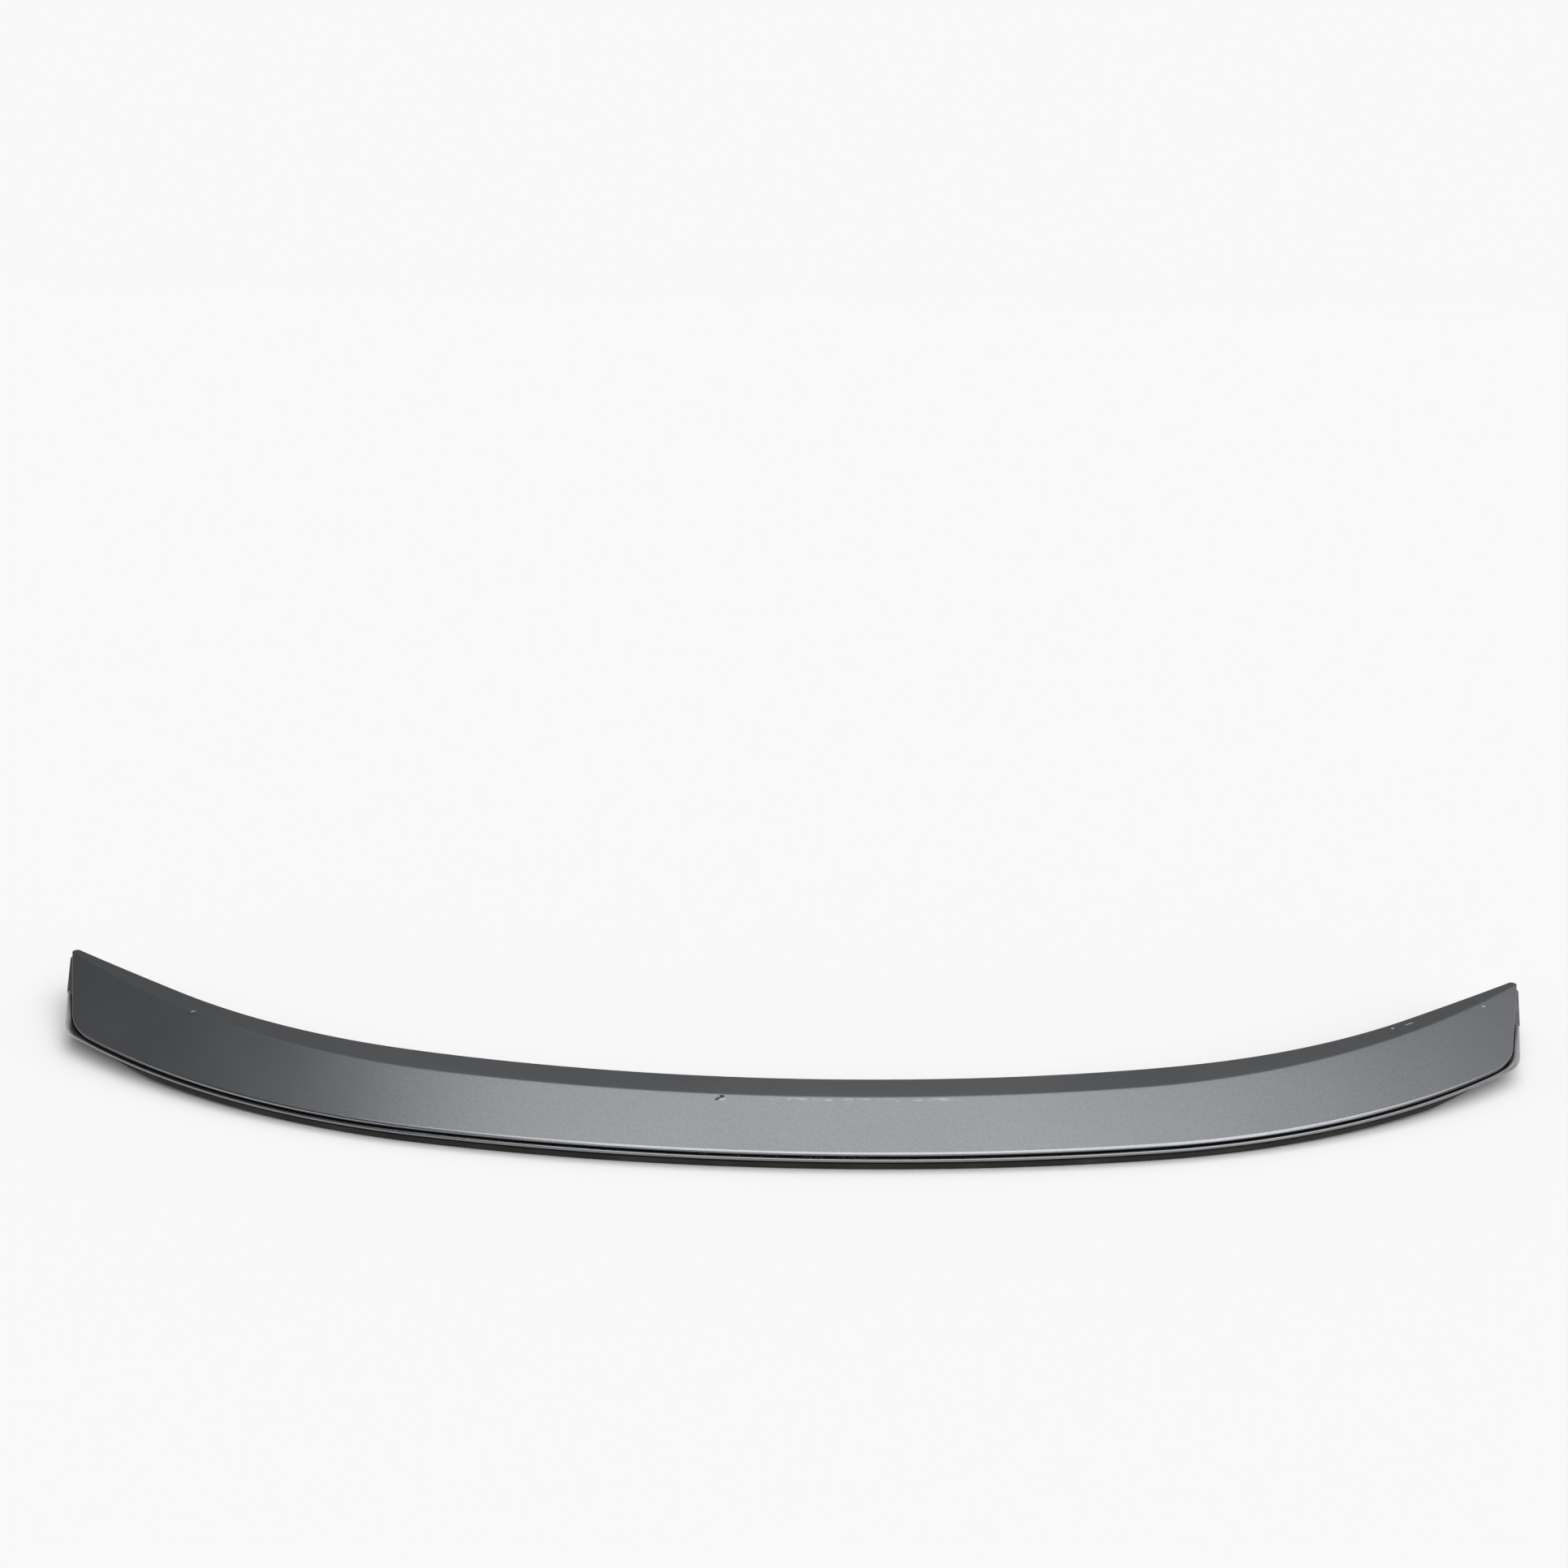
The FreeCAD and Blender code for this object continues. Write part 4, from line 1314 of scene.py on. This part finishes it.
def bar(mesh: bmesh.types.BMesh, sides: int, radius: float, bottom: float, top: float,
        place: Vector) -> list[bmesh.types.BMVert]:
    """Adds an upright bar with flat sides to a mesh.

    Args:
        mesh: the mesh to add to.
        sides: how many sides it has.
        radius: distance from its axis to its corners.
        bottom: height of its lower end.
        top: height of its upper end.
        place: where its axis stands in plan.

    Returns:
        The bar's vertices.
    """
    made = bmesh.ops.create_cone(
        mesh, cap_ends=True, segments=sides, radius1=radius * MM, radius2=radius * MM, depth=(top - bottom) * MM,
        matrix=Matrix.Translation(place.to_3d() * MM + UP * (top + bottom) / 2 * MM))["verts"]
    for vert in made:
        vert.tag = True
    return made


@dataclass
class MountingStuds:
    """Four threaded studs with plain necks and six-sided heads, and the foam washers on them."""

    form: SpoilerForm
    shares: tuple[float, ...] = (-3 / 8, -1 / 8, 1 / 8, 3 / 8)
    radius: float = 3.0
    root: float = 2.45
    pitch: float = 1.0
    crest: tuple[float, float] = (0.4, 0.55)
    tip_chamfer: float = 0.7
    thread_end: float = 7.2
    neck_radius: float = 4.0
    washer_bottom: float = 7.9
    seat: float = 10.4
    boss_top: float = 13.0
    head_radius: float = 7.0
    head_wall: float = 1.4
    head_sides: int = 6
    washer_radius: float = 9.0
    washer_round: float = 0.5
    washer_soft: float = 0.15
    washer_steps: int = 48

    def places(self) -> list[Vector]:
        """Where the studs stand in plan."""
        return [self.form.station(share * self.form.width) for share in self.shares]

    def build_studs(self) -> bpy.types.Object:
        """All four studs, each a thread and a neck under a six-sided head.

        Returns:
            The studs as one object.
        """
        mesh = bmesh.new()
        turns = int((self.thread_end - self.tip_chamfer) / self.pitch)
        thread = []
        for turn in range(turns):
            low = self.tip_chamfer + turn * self.pitch
            thread += [(self.root, low), *((self.radius, low + self.pitch * share) for share in self.crest)]
        profile = [(0.0, 0.0), (self.root - self.tip_chamfer, 0.0), *thread, (self.root, self.thread_end),
                   (self.root, self.washer_bottom), (self.neck_radius, self.washer_bottom),
                   (self.neck_radius, self.boss_top), (0.0, self.boss_top)]
        for place in self.places():
            turned(mesh, profile, place)
            bar(mesh, self.head_sides, self.head_radius, self.boss_top, self.boss_top + self.head_wall, place)
        bmesh.ops.recalc_face_normals(mesh, faces=mesh.faces)
        return finished("threaded_studs", mesh)

    def build_washers(self) -> bpy.types.Object:
        """The washers, with soft edges.

        Returns:
            The washers as one object.
        """
        mesh = bmesh.new()
        edge, soft = self.washer_round, self.washer_soft
        outer, inner = self.washer_radius, self.neck_radius
        low, high = self.washer_bottom, self.seat
        profile = [(inner, low), (outer - edge, low), (outer - soft, low + soft), (outer, low + edge),
                   (outer, high - edge), (outer - soft, high - soft), (outer - edge, high), (inner, high),
                   (inner, low)]
        for place in self.places():
            turned(mesh, profile, place, self.washer_steps)
        bmesh.ops.recalc_face_normals(mesh, faces=mesh.faces)
        return finished("foam_washers", mesh)

    def dress(self) -> None:
        """Plating on the studs, foam on the washers."""
        dress(self.build_studs(), "mounting_studs", Slot.PLATED_STEEL, PlatedSteel("stud_plating"))
        dress(self.build_washers(), "stud_washers", Slot.FOAM, Foam("washer_foam"))


@dataclass
class SkinScrews:
    """Four six-sided washer-head screws under the base."""

    form: SpoilerForm
    shares: tuple[float, ...] = (-0.431, -1 / 4, 1 / 4, 0.431)
    roughness: float = 0.34
    grip: float = 8.6
    length: float = 6.2
    radius: float = 1.75
    flange_radius: float = 4.2
    flange_wall: float = 0.8
    flange_bevel: float = 0.32
    head_radius: float = 3.3
    head_wall: float = 2.3
    head_sides: int = 6
    dish: float = 0.35
    dish_rim: float = 0.7
    facing_down: float = -0.9

    def build(self) -> bpy.types.Object:
        """All four screws, each a flange, a dished head and a shank.

        Returns:
            The screws as one object.
        """
        mesh = bmesh.new()
        for share in self.shares:
            place = self.form.station(share * self.form.width)
            seat = self.form.main(place.x, place.y) - self.grip
            under, bevel = seat - self.flange_wall, self.flange_bevel
            profile = [(0.0, under), (self.flange_radius - bevel, under), (self.flange_radius, seat - bevel),
                       (self.flange_radius, seat), (self.radius, seat), (self.radius, seat + self.length),
                       (0.0, seat + self.length)]
            turned(mesh, profile, place)
            head = bar(mesh, self.head_sides, self.head_radius, seat - self.head_wall, under, place)
            faces = {face for vert in head for face in vert.link_faces}
            end = [face for face in faces if face.normal.z < self.facing_down]
            bmesh.ops.inset_region(mesh, faces=end, thickness=self.dish_rim * MM, depth=-self.dish * MM)
            for vert in mesh.verts:
                vert.tag = True
        return finished("washer_head_screws", mesh)

    def dress(self) -> None:
        """Plating."""
        dress(self.build(), "skin_screws", Slot.PLATED_STEEL, PlatedSteel("screw_plating", roughness=self.roughness))


@dataclass
class BasePanel:
    """The black lower shell and the foam tape stuck under it."""

    form: SpoilerForm
    tapes: tuple[str, ...] = ("tape_left", "tape_centre", "tape_right")
    tape_grey: float = 0.05

    def dress(self) -> None:
        """Grained plastic on the shell, foam on the tape."""
        form = self.form
        grain = GrainedPlastic("base_grain", end=(form.half, form.tip_y - form.tip_face), flare=form.side_flare)
        dress(merged_copy("base_panel", "grained_base"), "base_panel", Slot.BLACK_PLASTIC, grain)
        for tape in self.tapes:
            dress(merged_copy(tape, f"foam_{tape}"), tape, Slot.FOAM, Foam(f"{tape}_foam", colour=self.tape_grey))


@dataclass(frozen=True)
class Glow:
    """A soft patch of sky: the ranges of direction over which it comes up and goes down again."""

    strength: float
    left: tuple[float, float]
    right: tuple[float, float]
    near: tuple[float, float]
    above: tuple[float, float]
    far: tuple[float, float] | None = None
    right_fade: float = 1.0

    def light(self, across: Signal, ahead: Signal, above: Signal) -> Signal:
        """The patch's light in a direction.

        Args:
            across: the direction's part along X.
            ahead: its part along Y.
            above: its part along Z.

        Returns:
            The strength of the light.
        """
        sideways = across.ramp(*self.left) * (1.0 - self.right_fade * across.ramp(*self.right))
        lengthways = ahead.ramp(*self.near)
        if self.far:
            lengthways = lengthways * (1.0 - ahead.ramp(*self.far))
        return self.strength * sideways * lengthways * above.ramp(*self.above)


@dataclass
class Studio:
    """Pale floor, soft light and a camera at the photograph's viewing angle."""

    image_size: float = 1932.0
    focal_pixels: float = 1935.0
    sensor_mm: float = 36.0
    camera_place: Vector = field(default_factory=lambda: Vector((5.08, -1032.7, 563.0)))
    pitch: float = math.radians(18.0)
    yaw: float = math.radians(-0.66)
    roll: float = math.radians(1.03)
    clip_m: tuple[float, float] = (0.01, 200.0)
    floor_half_m: float = 40.0
    floor_drop: float = 0.05
    backdrop: float = 0.945
    sky: float = 0.1
    wall: float = 0.75
    wall_top: tuple[float, float] = (0.05, 0.2)
    wall_rise: float = 0.26
    wall_sides: tuple[float, float] = (0.5, 0.7)
    back: Glow = Glow(0.87, left=(-0.36, -0.17), right=(0.15, 0.6), near=(0.05, 0.45), above=(0.38, 0.72),
                      right_fade=0.8)
    over: Glow = Glow(1.9, left=(-0.42, -0.24), right=(0.65, 0.9), near=(-0.95, -0.75), above=(0.0, 0.3),
                      far=(0.42, 0.6))

    def build_camera(self) -> None:
        """The camera, turned by its yaw, pitch and roll."""
        ahead = Vector((math.sin(self.yaw) * math.cos(self.pitch), math.cos(self.yaw) * math.cos(self.pitch),
                        -math.sin(self.pitch)))
        level = ahead.cross(UP).normalized()
        over = level.cross(ahead)
        right = level * math.cos(self.roll) + over * math.sin(self.roll)
        above = over * math.cos(self.roll) - level * math.sin(self.roll)
        data = bpy.data.cameras.new("camera")
        data.sensor_width = self.sensor_mm
        data.lens = self.sensor_mm * self.focal_pixels / self.image_size
        data.clip_start, data.clip_end = self.clip_m
        camera = bpy.data.objects.new("camera", data)
        turn = Matrix((right, above, -ahead)).transposed()
        camera.matrix_world = Matrix.Translation(self.camera_place * MM) @ turn.to_4x4()
        bpy.context.scene.collection.objects.link(camera)
        bpy.context.scene.camera = camera

    def build_floor(self) -> None:
        """A wide plain floor just under the part."""
        mesh = bmesh.new()
        bmesh.ops.create_grid(mesh, x_segments=1, y_segments=1, size=self.floor_half_m,
                              matrix=Matrix.Translation(-UP * self.floor_drop * MM))
        floor = finished("floor", mesh)
        floor.data.materials.append(PaleFloor("pale_floor").material())

    def build_light(self) -> None:
        """A smooth sky: pale low down all round, brighter overhead and behind the part, dimmer to the left."""
        world = bpy.data.worlds.new("sky")
        world.use_nodes = True
        graph = Graph(world.node_tree)
        direction = graph.axes(graph.node("ShaderNodeTexCoord").outputs["Generated"])
        across, _, above = direction
        low = 1.0 - (above - self.wall_rise * across.size().ramp(*self.wall_sides)).ramp(*self.wall_top)
        light = self.sky + self.wall * low + self.back.light(*direction) + self.over.light(*direction)
        seen = Signal(graph, graph.node("ShaderNodeLightPath").outputs["Is Camera Ray"])
        strength = light + seen * (self.backdrop - light)
        sky = graph.node("ShaderNodeBackground", None, {"Color": grey(1.0), "Strength": strength})
        graph.node("ShaderNodeOutputWorld", None, {"Surface": sky.outputs[0]})
        bpy.context.scene.world = world

    def build(self) -> None:
        """The whole studio, with plain view settings."""
        self.build_camera()
        self.build_floor()
        self.build_light()
        bpy.context.scene.view_settings.view_transform = "Standard"


def write_sizes() -> None:
    """Brings the scene's placements up to date."""
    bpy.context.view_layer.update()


def main() -> None:
    """Builds and dresses every piece, then the studio."""
    logging.basicConfig(level=logging.INFO, format="%(name)s %(message)s")
    form = SpoilerForm()
    for part in (PaintedSkin, EdgeStrip, BasePanel, RearSeal, MountingStuds, SkinScrews):
        part(form).dress()
    Studio().build()
    write_sizes()


if __name__ == "__main__":
    main()
